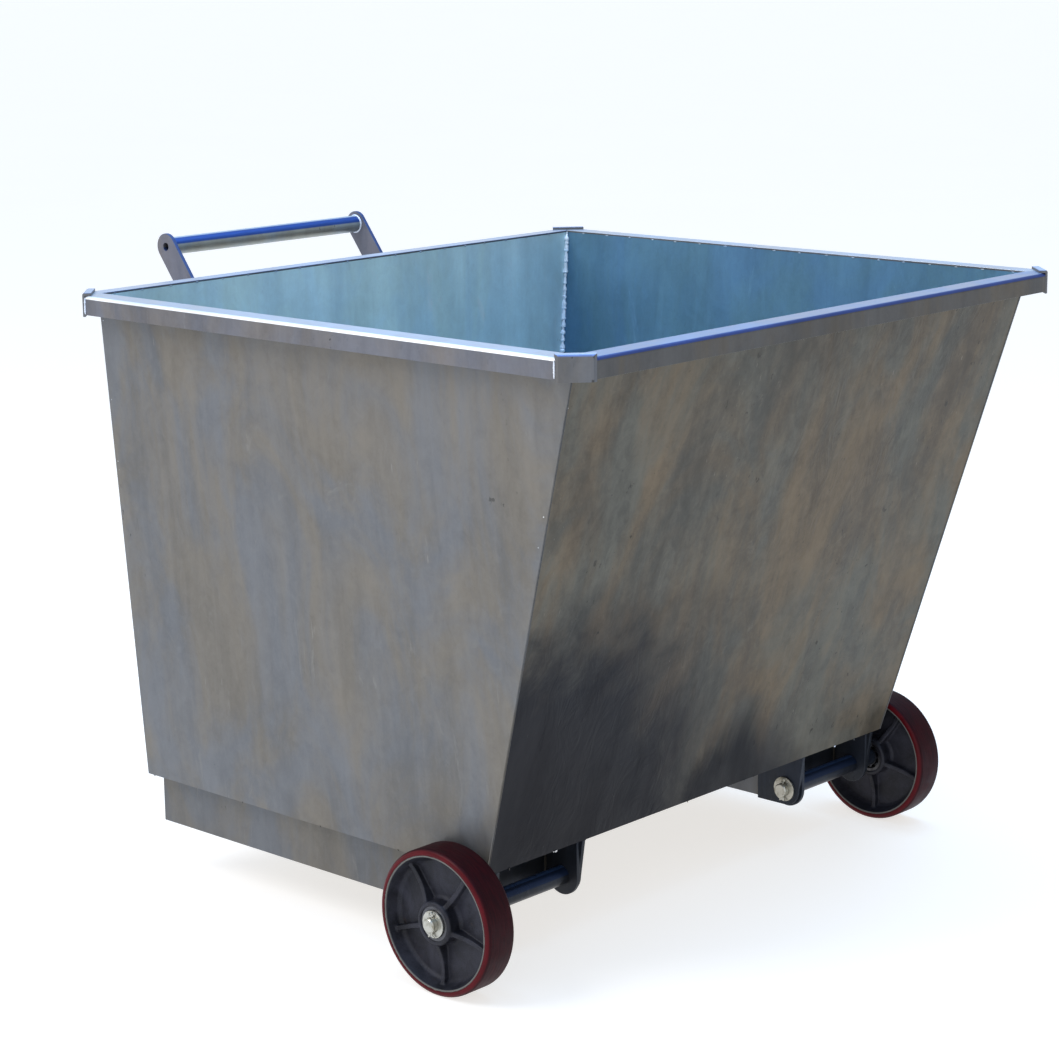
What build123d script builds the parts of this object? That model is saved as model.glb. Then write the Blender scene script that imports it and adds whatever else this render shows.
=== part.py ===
from build123d import *
import math
import os

# Hand-pushed tipping cart: a sheet-steel hopper on two fork channels, two ribbed cast wheels on
# short axles at the front and one swivel caster at the rear.
# Millimetres.  +X right, -Y front (the sloping panel), +Z up.  The origin is on the floor, under the
# middle of the overall length.  left is -X, right is +X.

# ---------------------------------------------------------------- driving dimensions: hopper and rim
rim_width = 1048.0            # over the side lips
rim_length = 956.0            # over the front and rear lips
hopper_depth = 718.0          # floor underside to the top of the rim
side_flange = 31.0            # wall's outer face to the lip's outer face, sides and front
rear_flange = 27.0
rim_lip = 27.0                # height of the down-turned lip
rim_thickness = 3.0
rim_bend = 6.0                # outer radius of the folded edge
rim_corner = 36.0             # legs of the cut-off corner
corner_thickness = 4.0        # strap that closes each cut-off corner
corner_drop = 3.0             # strap below the lips
corner_lap = 9.0              # strap over the flanges, past the cut
wall_thickness = 3.0
floor_thickness = 4.0
floor_width = 882.0           # over the side walls at the floor
floor_length = 687.0          # over the front and rear walls at the floor

# ---------------------------------------------------------------- driving dimensions: under-frame
channel_spacing = 830.0       # over the outer walls of the two channels
channel_width = 165.0
channel_height = 78.0
channel_thickness = 4.0
channel_bend = 8.0
channel_rear_setback = 2.0    # channel end in front of the rear wall
web_setback = 67.0            # front foot of the hopper to the channel's front end
gusset_thickness = 6.0
gusset_length = 85.0
gusset_nose = 25.0            # radius round the axle
ear_thickness = 6.0
ear_radius = 28.0

# ---------------------------------------------------------------- driving dimensions: front axle
wheel_diameter = 200.0
wheel_width = 50.0
tyre_thickness = 8.0
tyre_shoulder = 4.0
axle_drop = 55.0              # axle below the hopper floor's underside
axle_setback = 33.5           # axle behind the hopper's front foot
axle_diameter = 20.0
axle_hole_gap = 0.2           # radial, in the ears and gussets
axle_chamfer = 1.5
tube_gap = 0.85               # radial, axle to the spacer tube and the hub sleeve
tube_wall = 2.6
hub_sleeve_length = 36.0      # outer gusset to the bearing's inner ring
hub_width = 52.0
hub_diameter = 60.0
hub_chamfer = 2.5
bearing_diameter = 47.0
bearing_width = 14.0
bearing_inset = 2.0           # below the hub's faces
bearing_ring = 4.3            # radial thickness of each ring
ball_diameter = 7.9
ball_count = 8
ball_gap = 0.3                # ball to the rings' grooves
bearing_spacer_wall = 2.5
bond_gap = 0.05               # tyre to casting, ring to housing
washer_diameter = 37.0
washer_thickness = 3.0
pin_diameter = 5.0
pin_length = 36.0
pin_eye_radius = 3.92
pin_eye_wire = 1.715          # radius
pin_tail_radius = 1.96
pin_tail_length = 14.7
pin_gap = 0.3                 # washer to split pin
axle_end = 6.2                # axle past the split pin
rib_count = 5
rib_thickness = 7.0
rib_first_angle = 34.0        # from +Z towards the front
rib_rim_setback = 10.0        # rib's end below the rim's face
rib_dip = 6.0
casting_rim = 8.0
casting_web = 9.0
casting_step = 4.0
casting_face = 2.5            # width of the rim's edge, from which its inside tapers

# ---------------------------------------------------------------- driving dimensions: push handle
handle_tube_diameter = 26.9
handle_tube_wall = 2.6
handle_tube_length = 394.0
handle_reach = 191.0          # rear lip to the end of the arms
handle_rise = 24.0            # tube's axis above the rim
arm_width = 40.0
arm_thickness = 6.0
arm_angle = 53.0              # above the horizontal
arm_hole = 12.0

# ---------------------------------------------------------------- driving dimensions: rear caster
caster_rear_setback = 120.5   # kingpin in front of the rear wall
pad_length = 130.0
pad_width = 115.0
pad_thickness = 5.0
pad_corner = 6.0
plate_length = 105.0
plate_width = 85.0
plate_thickness = 3.5
plate_corner = 8.0
bolt_spacing_x = 80.0
bolt_spacing_y = 60.0
bolt_diameter = 8.0
bolt_hole = 9.0
nut_height = 6.5
nut_flats = 13.0
stud_length = 14.0
caster_head = 25.0            # top of the wheel to the mounting face
caster_offset = 38.0          # wheel behind the kingpin
caster_wheel_width = 38.0
caster_tyre = 9.0
caster_web = 8.0
caster_hub = 34.0
caster_rim = 7.0
caster_step = 3.0             # slopes between the web, the hub and the rim
caster_step_width = 2.0
caster_edge = 1.0             # core's rim inside the tyre's faces
caster_crown = 1.5            # rounding of the tread
caster_shoulder = 5.0
caster_shoulder_width = 4.0
race_radius = 24.0
race_ball = 6.0
race_ball_count = 20
race_groove = 0.25            # ball to each groove
race_half_gap = 2.0           # race ring to the balls' centre plane
race_drop = 6.5               # balls' centre plane below the top plate
crown_radius = 32.0
crown_thickness = 4.5
skirt_gap = 1.2
skirt_thickness = 2.0
kingpin_diameter = 12.0
kingpin_gap = 0.08
kingpin_tail = 1.0            # past the nut
kingpin_nut_height = 8.0
kingpin_nut_flats = 18.0
kingpin_nut_gap = 0.3
leg_thickness = 3.5
leg_gap = 4.0                 # wheel to each fork leg
leg_top_length = 46.0
leg_nose = 14.0
axle_bolt_diameter = 10.0
axle_bolt_gap = 0.1
sleeve_wall = 2.4
sleeve_gap = 0.08
hub_end_gap = 0.4
axle_nut_height = 8.0
axle_nut_flats = 16.0
axle_bolt_tail = 2.0          # past the nut

# ---------------------------------------------------------------- derived places
over = 400.0                                              # cutting shapes run this far past the work
margin = 1.0                                              # and this far where they must stop short
wheel_radius = wheel_diameter / 2
axle_z = wheel_radius
floor_z = axle_z + axle_drop
rim_z = floor_z + hopper_depth
wall_top_z = rim_z - rim_thickness
overall_length = rim_length + handle_reach
rim_front_y = -overall_length / 2
rim_rear_y = rim_front_y + rim_length
rear_wall_y = rim_rear_y - rear_flange
front_foot_y = rear_wall_y - floor_length
front_top_y = rim_front_y + side_flange
top_half_width = rim_width / 2 - side_flange
foot_half_width = floor_width / 2
side_lean = (top_half_width - foot_half_width) / hopper_depth
front_lean = (front_foot_y - front_top_y) / hopper_depth
side_wall = wall_thickness * math.hypot(1, side_lean)     # wall thickness measured level
front_wall = wall_thickness * math.hypot(1, front_lean)

channel_outer_x = channel_spacing / 2
channel_inner_x = channel_outer_x - channel_width
channel_bottom_z = floor_z - channel_height
channel_front_y = front_foot_y + web_setback
channel_rear_y = rear_wall_y - channel_rear_setback

axle_y = front_foot_y + axle_setback
axle_radius = axle_diameter / 2
tube_bore = axle_radius + tube_gap
tube_radius = tube_bore + tube_wall
gusset_outer_x = channel_outer_x + gusset_thickness
gusset_inner_x = channel_inner_x - gusset_thickness
bearing_inner_x = gusset_outer_x + hub_sleeve_length
hub_inner_x = bearing_inner_x - bearing_inset
wheel_x = hub_inner_x + hub_width / 2
hub_outer_x = hub_inner_x + hub_width
bearing_outer_x = hub_outer_x - bearing_inset
outer_pin_x = bearing_outer_x + washer_thickness + pin_gap + pin_diameter / 2
inner_pin_x = gusset_inner_x - washer_thickness - pin_gap - pin_diameter / 2
casting_radius = wheel_radius - tyre_thickness

handle_y = rim_rear_y + handle_reach - arm_width / 2
handle_z = rim_z + handle_rise

caster_y = rear_wall_y - caster_rear_setback
pad_z = floor_z - pad_thickness
plate_z = pad_z - plate_thickness
caster_radius = (pad_z - caster_head) / 2
caster_wheel_y = caster_y + caster_offset
race_z = plate_z - race_drop
crown_top_z = race_z - race_half_gap
crown_z = crown_top_z - crown_thickness
leg_inner_x = caster_wheel_width / 2 + leg_gap

SIDES = (("left", -1), ("right", 1))


# ---------------------------------------------------------------- helpers
def save(name, shape):
    """Write one named sub-part."""
    shape.label = name
    export_step(shape, f"parts/{name}.step")


def block(low, high):
    """Box between two opposite corners."""
    size = [b - a for a, b in zip(low, high)]
    middle = [(a + b) / 2 for a, b in zip(low, high)]
    return Pos(*middle) * Box(*size)


def disc_x(radius, x0, x1, y, z):
    """Round bar along X between x0 and x1."""
    return Pos((x0 + x1) / 2, y, z) * Rot(0, 90, 0) * Cylinder(radius, abs(x1 - x0))


def disc_z(radius, z0, z1, x, y):
    """Round bar along Z between z0 and z1."""
    return Pos(x, y, (z0 + z1) / 2) * Cylinder(radius, abs(z1 - z0))


def ring_x(outer, inner, x0, x1, y, z):
    """Tube along X between x0 and x1."""
    return disc_x(outer, x0, x1, y, z) - disc_x(inner, x0 - over, x1 + over, y, z)


def plate_x(outline, x0, x1):
    """Plate between x0 and x1, from an outline whose own x and y are the model's Y and Z."""
    return extrude(Plane.YZ.offset(min(x0, x1)) * outline, amount=abs(x1 - x0))


def bar_y(outline, y0, y1):
    """Bar between y0 and y1, from an outline whose own x and y are the model's X and Z."""
    return extrude(Plane.XZ.offset(-y1) * outline, amount=y1 - y0)


def polygon(*points):
    """Flat face through the points in order."""
    return make_face(Polyline(*points, close=True))


def group(solids):
    """Several loose solids as one sub-part."""
    return Compound(children=list(solids))


def mirrored(shape, side):
    """The shape as built on the right, or its mirror image on the left."""
    return shape if side > 0 else mirror(shape, about=Plane.YZ)


def hexagon_bar(flats):
    """Outline of a hexagonal nut."""
    return RegularPolygon(flats / 2, 6, major_radius=False)


# ---------------------------------------------------------------- hopper
def hull(side_in, front_in, rear_in, z0, z1):
    """The hopper's tapered form with its side, front and rear faces moved in by these amounts."""
    sections = []
    for z in (z0, z1):
        half = foot_half_width + side_lean * (z - floor_z) - side_in
        front = front_foot_y - front_lean * (z - floor_z) + front_in
        rear = rear_wall_y - rear_in
        sections.append(Pos(0, (front + rear) / 2, z) * Rectangle(2 * half, rear - front))
    return loft([section.face() for section in sections], ruled=True)


def build_hopper():
    """Two side walls, front and rear walls between them, and the floor inside all four."""
    z0 = floor_z
    z1 = wall_top_z
    sides = hull(0, 0, 0, z0, z1) - hull(side_wall, -over, -over, z0 - margin, z1 + margin)
    left, right = sorted(sides.solids(), key=lambda solid: solid.center().X)
    save("side_panel_left", left)
    save("side_panel_right", right)
    between = hull(side_wall, 0, 0, z0, z1)
    save("front_panel", between - hull(-over, front_wall, -over, z0 - margin, z1 + margin))
    rear = block((-rim_width, rear_wall_y - wall_thickness, 0), (rim_width, rear_wall_y + over, 2 * rim_z))
    save("rear_panel", between & rear)
    save("floor_panel", hull(side_wall, front_wall, wall_thickness, z0, z0 + floor_thickness))


# ---------------------------------------------------------------- rim
def rim_profile(depth):
    """Folded angle: a level flange this deep and a lip at its outer edge, which is at x = 0."""
    corner = polygon(
        (-depth, 0), (0, 0), (0, -rim_lip), (-rim_thickness, -rim_lip),
        (-rim_thickness, -rim_thickness), (-depth, -rim_thickness),
    )
    outer = corner.vertices().group_by(Axis.X)[-1].sort_by(Axis.Y)[-1]
    corner = fillet(outer, rim_bend)
    inner = min(corner.vertices(), key=lambda v: math.hypot(v.X + rim_thickness, v.Y + rim_thickness))
    return fillet(inner, rim_bend - rim_thickness)


def rim_bar(length, depth, angle, x, y):
    """One rim member of the full length, turned about Z so that its lip faces outwards."""
    bar = bar_y(rim_profile(depth), -length / 2, length / 2)
    return Pos(x, y, rim_z) * Rot(0, 0, angle) * bar


def corner_prism(side, end, inset):
    """Tall prism outside the cut-off corner, moved in by inset along both legs."""
    x = side * rim_width / 2
    y = rim_front_y if end < 0 else rim_rear_y
    leg = rim_corner + inset
    triangle = polygon((x, y), (x - side * leg, y), (x, y - end * leg))
    return Pos(0, 0, rim_z - over) * extrude(triangle, amount=2 * over, dir=(0, 0, 1))


def build_rim():
    """Four folded angles round the mouth, mitred along the corners, and a strap over each cut corner."""
    middle_y = (rim_front_y + rim_rear_y) / 2
    half = rim_width / 2
    corners = [(side, end) for _, side in SIDES for end in (-1, 1)]
    side_depth = side_flange + side_wall
    front_depth = side_flange + front_wall
    rear_depth = rear_flange + wall_thickness
    members = {
        "rim_left": rim_bar(rim_length, side_depth, 180, -half, middle_y),
        "rim_right": rim_bar(rim_length, side_depth, 0, half, middle_y),
        "rim_front": rim_bar(rim_width, front_depth, -90, 0, rim_front_y),
        "rim_rear": rim_bar(rim_width, rear_depth, 90, 0, rim_rear_y),
    }
    inner_x = half - side_depth
    front_in_y = rim_front_y + front_depth
    rear_in_y = rim_rear_y - rear_depth
    mouth = [(-inner_x, front_in_y), (inner_x, front_in_y), (inner_x, rear_in_y), (-inner_x, rear_in_y)]
    outside = [(-half, rim_front_y), (half, rim_front_y), (half, rim_rear_y), (-half, rim_rear_y)]
    quarters = {"rim_front": (0, 1), "rim_right": (1, 2), "rim_rear": (2, 3), "rim_left": (3, 0)}
    for name, (a, b) in quarters.items():
        quarter = polygon(mouth[a], outside[a], outside[b], mouth[b])
        member = members[name] & Pos(0, 0, rim_z - over) * extrude(quarter, amount=2 * over, dir=(0, 0, 1))
        for side, end in corners:
            member -= corner_prism(side, end, 0)
        save(name, member.solid())
    for name, side in SIDES:
        save(f"rim_corner_front_{name}", strap(side, -1))
        save(f"rim_corner_rear_{name}", strap(side, 1))


def strap(side, end):
    """Bent strap: a lip across the cut corner and a lap on top of both flanges."""
    width = rim_corner * math.sqrt(2)
    top = corner_thickness
    lip_bottom = -rim_lip - corner_drop
    profile = polygon(
        (-corner_lap, 0), (0, 0), (0, lip_bottom), (top, lip_bottom), (top, top), (-corner_lap, top),
    )
    edge = profile.vertices().group_by(Axis.X)[-1].sort_by(Axis.Y)[-1]
    profile = fillet(edge, corner_thickness)
    bar = bar_y(profile, -width / 2, width / 2)
    x = side * (rim_width / 2 - rim_corner / 2)
    y = (rim_front_y if end < 0 else rim_rear_y) - end * rim_corner / 2
    facing = math.degrees(math.atan2(end, side))
    bar = Pos(x, y, rim_z) * Rot(0, 0, facing) * bar
    inside = block((-rim_width / 2, rim_front_y, 0), (rim_width / 2, rim_rear_y, 2 * rim_z))
    return (bar & inside).solid()


# ---------------------------------------------------------------- fork channels, gussets and ears
def build_channels():
    """Two inverted channels that take lift-truck forks, each closed at the front by a web plate."""
    x0 = channel_inner_x
    x1 = channel_outer_x
    t = channel_thickness
    bottom = channel_bottom_z
    top = floor_z
    for name, side in SIDES:
        outline = polygon((x0, bottom), (x0, top), (x1, top), (x1, bottom))
        outline = fillet(outline.vertices().group_by(Axis.Y)[-1], channel_bend)
        hollow = polygon((x0 + t, bottom - t), (x0 + t, top - t), (x1 - t, top - t), (x1 - t, bottom - t))
        hollow = fillet(hollow.vertices().group_by(Axis.Y)[-1], channel_bend - t)
        channel = bar_y(outline - hollow, channel_front_y, channel_rear_y)
        save(f"fork_channel_{name}", mirrored(channel.solid(), side))
        web = bar_y(outline & hollow, channel_front_y, channel_front_y + t)
        save(f"channel_web_{name}", mirrored(web.solid(), side))


def gusset_outline():
    """Side view of a gusset: upright front edge, round nose under the axle, level foot to the rear."""
    front = front_foot_y
    rear = front_foot_y + gusset_length
    shoulder = polygon((front, floor_z), (rear, floor_z), (rear, axle_z), (front, axle_z))
    sole = axle_z - gusset_nose
    foot = polygon((axle_y, axle_z), (rear, axle_z), (rear, sole), (axle_y, sole))
    nose_edge = axle_y - gusset_nose
    cheek = polygon((front, floor_z), (axle_y, floor_z), (axle_y, axle_z), (nose_edge, axle_z))
    beyond = polygon((front, floor_z), (nose_edge, axle_z), (front - over, axle_z), (front - over, floor_z))
    outline = shoulder - beyond + cheek + foot + Pos(axle_y, axle_z) * Circle(gusset_nose)
    return outline - Pos(axle_y, axle_z) * Circle(axle_radius + axle_hole_gap)


def ear_outline():
    """Side view of an ear: a flat bar down from the floor with a round end about the axle."""
    bar = polygon(
        (axle_y - ear_radius, axle_z), (axle_y - ear_radius, floor_z),
        (axle_y + ear_radius, floor_z), (axle_y + ear_radius, axle_z),
    )
    outline = bar + Pos(axle_y, axle_z) * Circle(ear_radius)
    return outline - Pos(axle_y, axle_z) * Circle(axle_radius + axle_hole_gap)


def build_brackets():
    """A gusset outside each channel wall and an ear against its inner face carry each short axle."""
    gusset = gusset_outline()
    ear = ear_outline()
    outer = channel_outer_x
    inner = channel_inner_x
    for name, side in SIDES:
        places = {
            f"axle_gusset_{name}_outer": plate_x(gusset, outer, gusset_outer_x),
            f"axle_gusset_{name}_inner": plate_x(gusset, gusset_inner_x, inner),
            f"axle_ear_{name}_outer": plate_x(ear, outer - ear_thickness, outer),
            f"axle_ear_{name}_inner": plate_x(ear, inner, inner + ear_thickness),
        }
        for node, plate in places.items():
            save(node, mirrored(plate.solid(), side))


# ---------------------------------------------------------------- axles and bearings
def build_axles():
    """Short axles with spacer tubes, hub sleeves, washers and split pins."""
    washers = []
    pins = []
    hole = axle_radius + axle_hole_gap
    for name, side in SIDES:
        start = inner_pin_x - axle_end
        end = outer_pin_x + axle_end
        axle = disc_x(axle_radius, start, end, axle_y, axle_z)
        axle = chamfer(axle.edges().filter_by(GeomType.CIRCLE), axle_chamfer)
        for x in (inner_pin_x, outer_pin_x):
            axle -= disc_z(pin_diameter / 2, axle_z - over, axle_z + over, x, axle_y)
            pins.append(mirrored(split_pin(x), side))
        save(f"axle_{name}", mirrored(axle.solid(), side))
        x0 = channel_inner_x + ear_thickness
        x1 = channel_outer_x - ear_thickness
        tube = ring_x(tube_radius, tube_bore, x0, x1, axle_y, axle_z)
        save(f"axle_spacer_tube_{name}", mirrored(tube, side))
        sleeve = ring_x(tube_radius, tube_bore, gusset_outer_x, bearing_inner_x, axle_y, axle_z)
        save(f"hub_sleeve_{name}", mirrored(sleeve, side))
        for x0 in (gusset_inner_x - washer_thickness, bearing_outer_x):
            washer = ring_x(washer_diameter / 2, hole, x0, x0 + washer_thickness, axle_y, axle_z)
            washers.append(mirrored(washer, side))
    save("axle_washers", group(washers))
    save("split_pins", group(pins))


def split_pin(x):
    """Split pin through the axle: a shank with an eye above and two bent tails below."""
    radius = pin_diameter / 2 - bond_gap
    top = axle_z + axle_radius + radius
    bottom = axle_z - pin_length / 2
    shank = disc_z(radius, bottom, top, x, axle_y)
    eye = Pos(x, axle_y, top + radius) * Rot(0, 90, 0) * Torus(pin_eye_radius, pin_eye_wire)
    tails = Pos(x, axle_y, bottom + radius) * Rot(90, 0, 0) * Cylinder(pin_tail_radius, pin_tail_length)
    return (shank + eye + tails).solid()


def ball_circle(radius, ball, count):
    """Ring of balls about the Z axis."""
    return [Rot(0, 0, 360 * i / count) * Pos(radius, 0, 0) * Sphere(ball / 2) for i in range(count)]


def build_bearings():
    """Two deep-groove bearings in each hub, with a spacer between their inner rings."""
    inner_rings = []
    spacers = []
    outer = bearing_diameter / 2 - bond_gap
    pitch = (bearing_diameter / 2 + axle_radius) / 2
    groove = Rot(0, 90, 0) * Torus(pitch, ball_diameter / 2 + ball_gap)
    outer_in = outer - bearing_ring
    inner_out = axle_radius + bearing_ring
    for name, side in SIDES:
        outer_rings = []
        balls = []
        for x0 in (bearing_inner_x, bearing_outer_x - bearing_width):
            place = Pos(x0 + bearing_width / 2, axle_y, axle_z)
            half = bearing_width / 2
            outer_ring = ring_x(outer, outer_in, -half, half, 0, 0) - groove
            inner_ring = ring_x(inner_out, axle_radius + bond_gap, -half, half, 0, 0) - groove
            outer_rings.append(mirrored(place * outer_ring, side))
            inner_rings.append(mirrored(place * inner_ring, side))
            for ball in ball_circle(pitch, ball_diameter, ball_count):
                balls.append(mirrored(place * Rot(0, 90, 0) * ball, side))
        save(f"bearing_outer_rings_{name}", group(outer_rings))
        save(f"bearing_balls_{name}", group(balls))
        x0 = bearing_inner_x + bearing_width
        x1 = bearing_outer_x - bearing_width
        spacer = ring_x(
            axle_radius + bearing_spacer_wall, axle_radius + axle_hole_gap, x0, x1, axle_y, axle_z
        )
        spacers.append(mirrored(spacer, side))
    save("bearing_inner_rings", group(inner_rings))
    save("bearing_spacers", group(spacers))


# ---------------------------------------------------------------- front wheels
def wheel_section():
    """Half section of the casting: own x is along the axle, own y is the radius."""
    half_hub = hub_width / 2
    half_rim = wheel_width / 2
    rim_in = casting_radius - casting_rim
    hub_out = hub_diameter / 2
    bore = bearing_diameter / 2
    shoulder = bore - bearing_ring
    seat = half_hub - bearing_inset - bearing_width
    half_web = casting_web / 2
    right = [
        (seat, shoulder), (seat, bore), (half_hub, bore), (half_hub, hub_out - hub_chamfer),
        (half_hub - hub_chamfer, hub_out), (half_web + casting_step, hub_out),
        (half_web, hub_out + casting_step), (half_web, rim_in - casting_step),
        (half_web + casting_step, rim_in),
        (half_rim, casting_radius - casting_face), (half_rim, casting_radius),
    ]
    left = [(-x, y) for x, y in reversed(right)]
    return polygon(*right, *left)


def rib(facing):
    """One rib between hub and rim on the face at +1 or -1, standing along +Y of the wheel's own frame."""
    hub_top = facing * (hub_width / 2 - hub_chamfer)
    rim_top = facing * (wheel_width / 2 - rib_rim_setback)
    start = hub_diameter / 2 - hub_chamfer
    end = casting_radius - casting_rim / 2
    low = (hub_top + rim_top) / 2 - facing * rib_dip
    crest = ThreePointArc((hub_top, start), (low, (start + end) / 2), (rim_top, end))
    sides = Polyline((rim_top, end), (0, end), (0, start), (hub_top, start))
    face = make_face([crest, sides])
    return Pos(0, 0, -rib_thickness / 2) * extrude(face, amount=rib_thickness, dir=(0, 0, 1))


def build_wheels():
    """Ribbed castings with bonded tyres, turning on the bearings' outer rings."""
    casting = revolve(wheel_section(), Axis.X)
    for i in range(rib_count):
        turn = Rot(rib_first_angle + 90 + 360 * i / rib_count, 0, 0)
        casting += turn * rib(1)
        casting += turn * rib(-1)
    half = wheel_width / 2
    inner = casting_radius + bond_gap
    tyre = revolve(
        polygon(
            (half, inner), (half, wheel_radius - tyre_shoulder), (half - tyre_shoulder, wheel_radius),
            (tyre_shoulder - half, wheel_radius), (-half, wheel_radius - tyre_shoulder), (-half, inner),
        ),
        Axis.X,
    )
    place = Pos(wheel_x, axle_y, axle_z)
    for name, side in SIDES:
        save(f"wheel_casting_{name}", mirrored((place * casting).solid(), side))
        save(f"wheel_tyre_{name}", mirrored((place * tyre).solid(), side))


# ---------------------------------------------------------------- push handle
def arm_outline():
    """Side view of an arm: a flat bar from the rear wall up to a round end about the tube."""
    half = arm_width / 2
    length = (handle_y - rear_wall_y) / math.cos(math.radians(arm_angle)) + arm_width
    bar = Pos(-length / 2, 0) * Rectangle(length, arm_width) + Circle(half)
    wall = polygon(
        (rear_wall_y - over, handle_z - 2 * over), (rear_wall_y, handle_z - 2 * over),
        (rear_wall_y, handle_z + over), (rear_wall_y - over, handle_z + over),
    )
    hole = Pos(handle_y, handle_z) * Circle(arm_hole / 2)
    return Pos(handle_y, handle_z) * Rot(0, 0, arm_angle) * bar - wall - hole


def build_handle():
    """Tube between two flat arms that stand off the rear wall."""
    half = handle_tube_length / 2
    radius = handle_tube_diameter / 2
    tube = ring_x(radius, radius - handle_tube_wall, -half, half, handle_y, handle_z)
    save("handle_tube", tube)
    for name, side in SIDES:
        arm = plate_x(arm_outline(), half, half + arm_thickness)
        save(f"handle_arm_{name}", mirrored(arm.solid(), side))


# ---------------------------------------------------------------- rear caster
def bolt_places():
    """Centres of the four fixing bolts."""
    return [
        (sx * bolt_spacing_x / 2, caster_y + sy * bolt_spacing_y / 2) for sx in (-1, 1) for sy in (-1, 1)
    ]


def plate_z_rounded(length, width, corner, z0, z1):
    """Rounded level plate centred on the kingpin: length along X, width along Y."""
    face = Pos(0, caster_y, z0) * RectangleRounded(length, width, corner)
    return extrude(face, amount=z1 - z0, dir=(0, 0, 1))


def race_groove_ring():
    """Groove that the race balls run in."""
    return Pos(0, caster_y, race_z) * Torus(race_radius, race_ball / 2 + race_groove)


def build_caster_mount():
    """Pad under the floor, studs and nuts, the caster's top plate and its kingpin."""
    pad = plate_z_rounded(pad_length, pad_width, pad_corner, pad_z, floor_z)
    plate = plate_z_rounded(plate_length, plate_width, plate_corner, plate_z, pad_z)
    studs = []
    nuts = []
    for x, y in bolt_places():
        plate -= disc_z(bolt_hole / 2, plate_z - over, pad_z + over, x, y)
        studs.append(disc_z(bolt_diameter / 2, pad_z - stud_length, pad_z, x, y))
        nut = extrude(hexagon_bar(nut_flats), amount=nut_height, dir=(0, 0, 1))
        nut = Pos(x, y, plate_z - nut_height) * nut
        nuts.append(nut - disc_z(bolt_diameter / 2 + bond_gap, 0, over, x, y))
    race = disc_z(race_radius + race_ball, race_z + race_half_gap, plate_z, 0, caster_y)
    skirt_in = crown_radius + skirt_gap
    skirt = disc_z(skirt_in + skirt_thickness, crown_top_z, plate_z, 0, caster_y)
    skirt -= disc_z(skirt_in, 0, plate_z - skirt_thickness, 0, caster_y)
    plate = plate + race + skirt - race_groove_ring()
    radius = kingpin_diameter / 2
    plate -= disc_z(radius + bond_gap, 0, over, 0, caster_y)
    nut_top = crown_z - kingpin_nut_gap
    nut_z = nut_top - kingpin_nut_height
    kingpin = disc_z(radius, nut_z - kingpin_tail, pad_z, 0, caster_y)
    nut = Pos(0, caster_y, nut_z) * extrude(
        hexagon_bar(kingpin_nut_flats), amount=kingpin_nut_height, dir=(0, 0, 1)
    )
    nut -= disc_z(radius + bond_gap, 0, over, 0, caster_y)
    save("caster_pad", pad)
    save("caster_studs", group(studs))
    save("caster_nuts", group([nut_solid.solid() for nut_solid in nuts]))
    save("caster_top_plate", plate.solid())
    save("caster_kingpin", kingpin)
    save("caster_kingpin_nut", nut.solid())


def tangent_point(start, centre, radius, turn):
    """Where a line from start touches the circle, on its left (turn = 1) or right (turn = -1)."""
    dx = centre[0] - start[0]
    dy = centre[1] - start[1]
    reach = math.hypot(dx, dy)
    angle = math.atan2(dy, dx) + turn * math.asin(radius / reach)
    length = math.sqrt(reach**2 - radius**2)
    return (start[0] + length * math.cos(angle), start[1] + length * math.sin(angle))


def fork_leg_outline():
    """Side view of a fork leg: wide at the crown, narrowing to a round end about the wheel's axle."""
    top = crown_z + crown_thickness / 2
    front = (caster_y - leg_top_length / 2, top)
    rear = (caster_y + leg_top_length / 2, top)
    centre = (caster_wheel_y, caster_radius)
    touch_front = tangent_point(front, centre, leg_nose, -1)
    touch_rear = tangent_point(rear, centre, leg_nose, 1)
    return polygon(front, rear, touch_rear, centre, touch_front) + Pos(*centre) * Circle(leg_nose)


def build_caster_fork():
    """Crown with the lower race, two legs, the race balls and the bolt with its sleeve and nut."""
    crown = disc_z(crown_radius, crown_z, crown_top_z, 0, caster_y)
    bolt_radius = axle_bolt_diameter / 2
    sleeve_in = bolt_radius + axle_bolt_gap
    leg = fork_leg_outline() - Pos(caster_wheel_y, caster_radius) * Circle(sleeve_in)
    outer = leg_inner_x + leg_thickness
    fork = crown + plate_x(leg, leg_inner_x, outer) + plate_x(leg, -outer, -leg_inner_x)
    above = block((-over, caster_y - over, crown_z), (over, caster_y + over, crown_top_z))
    fork -= above - disc_z(crown_radius, 0, crown_top_z, 0, caster_y)
    fork -= race_groove_ring()
    fork -= disc_z(kingpin_diameter / 2 + kingpin_gap, 0, over, 0, caster_y)
    balls = [Pos(0, caster_y, race_z) * ball for ball in ball_circle(race_radius, race_ball, race_ball_count)]
    head = Pos(outer, caster_wheel_y, caster_radius) * Rot(0, 90, 0) * extrude(
        hexagon_bar(axle_nut_flats), amount=axle_nut_height, dir=(0, 0, 1)
    )
    tail = outer + axle_nut_height + axle_bolt_tail
    bolt = disc_x(bolt_radius, -tail, outer, caster_wheel_y, caster_radius) + head
    nut = Pos(-outer - axle_nut_height, caster_wheel_y, caster_radius) * Rot(0, 90, 0) * extrude(
        hexagon_bar(axle_nut_flats), amount=axle_nut_height, dir=(0, 0, 1)
    )
    nut -= disc_x(bolt_radius + bond_gap, -over, over, caster_wheel_y, caster_radius)
    sleeve_out = sleeve_in + sleeve_wall
    sleeve = ring_x(sleeve_out, sleeve_in, -leg_inner_x, leg_inner_x, caster_wheel_y, caster_radius)
    save("caster_fork", fork.solid())
    save("caster_race_balls", group(balls))
    save("caster_axle_bolt", bolt.solid())
    save("caster_axle_nut", nut.solid())
    save("caster_axle_sleeve", sleeve)


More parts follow.
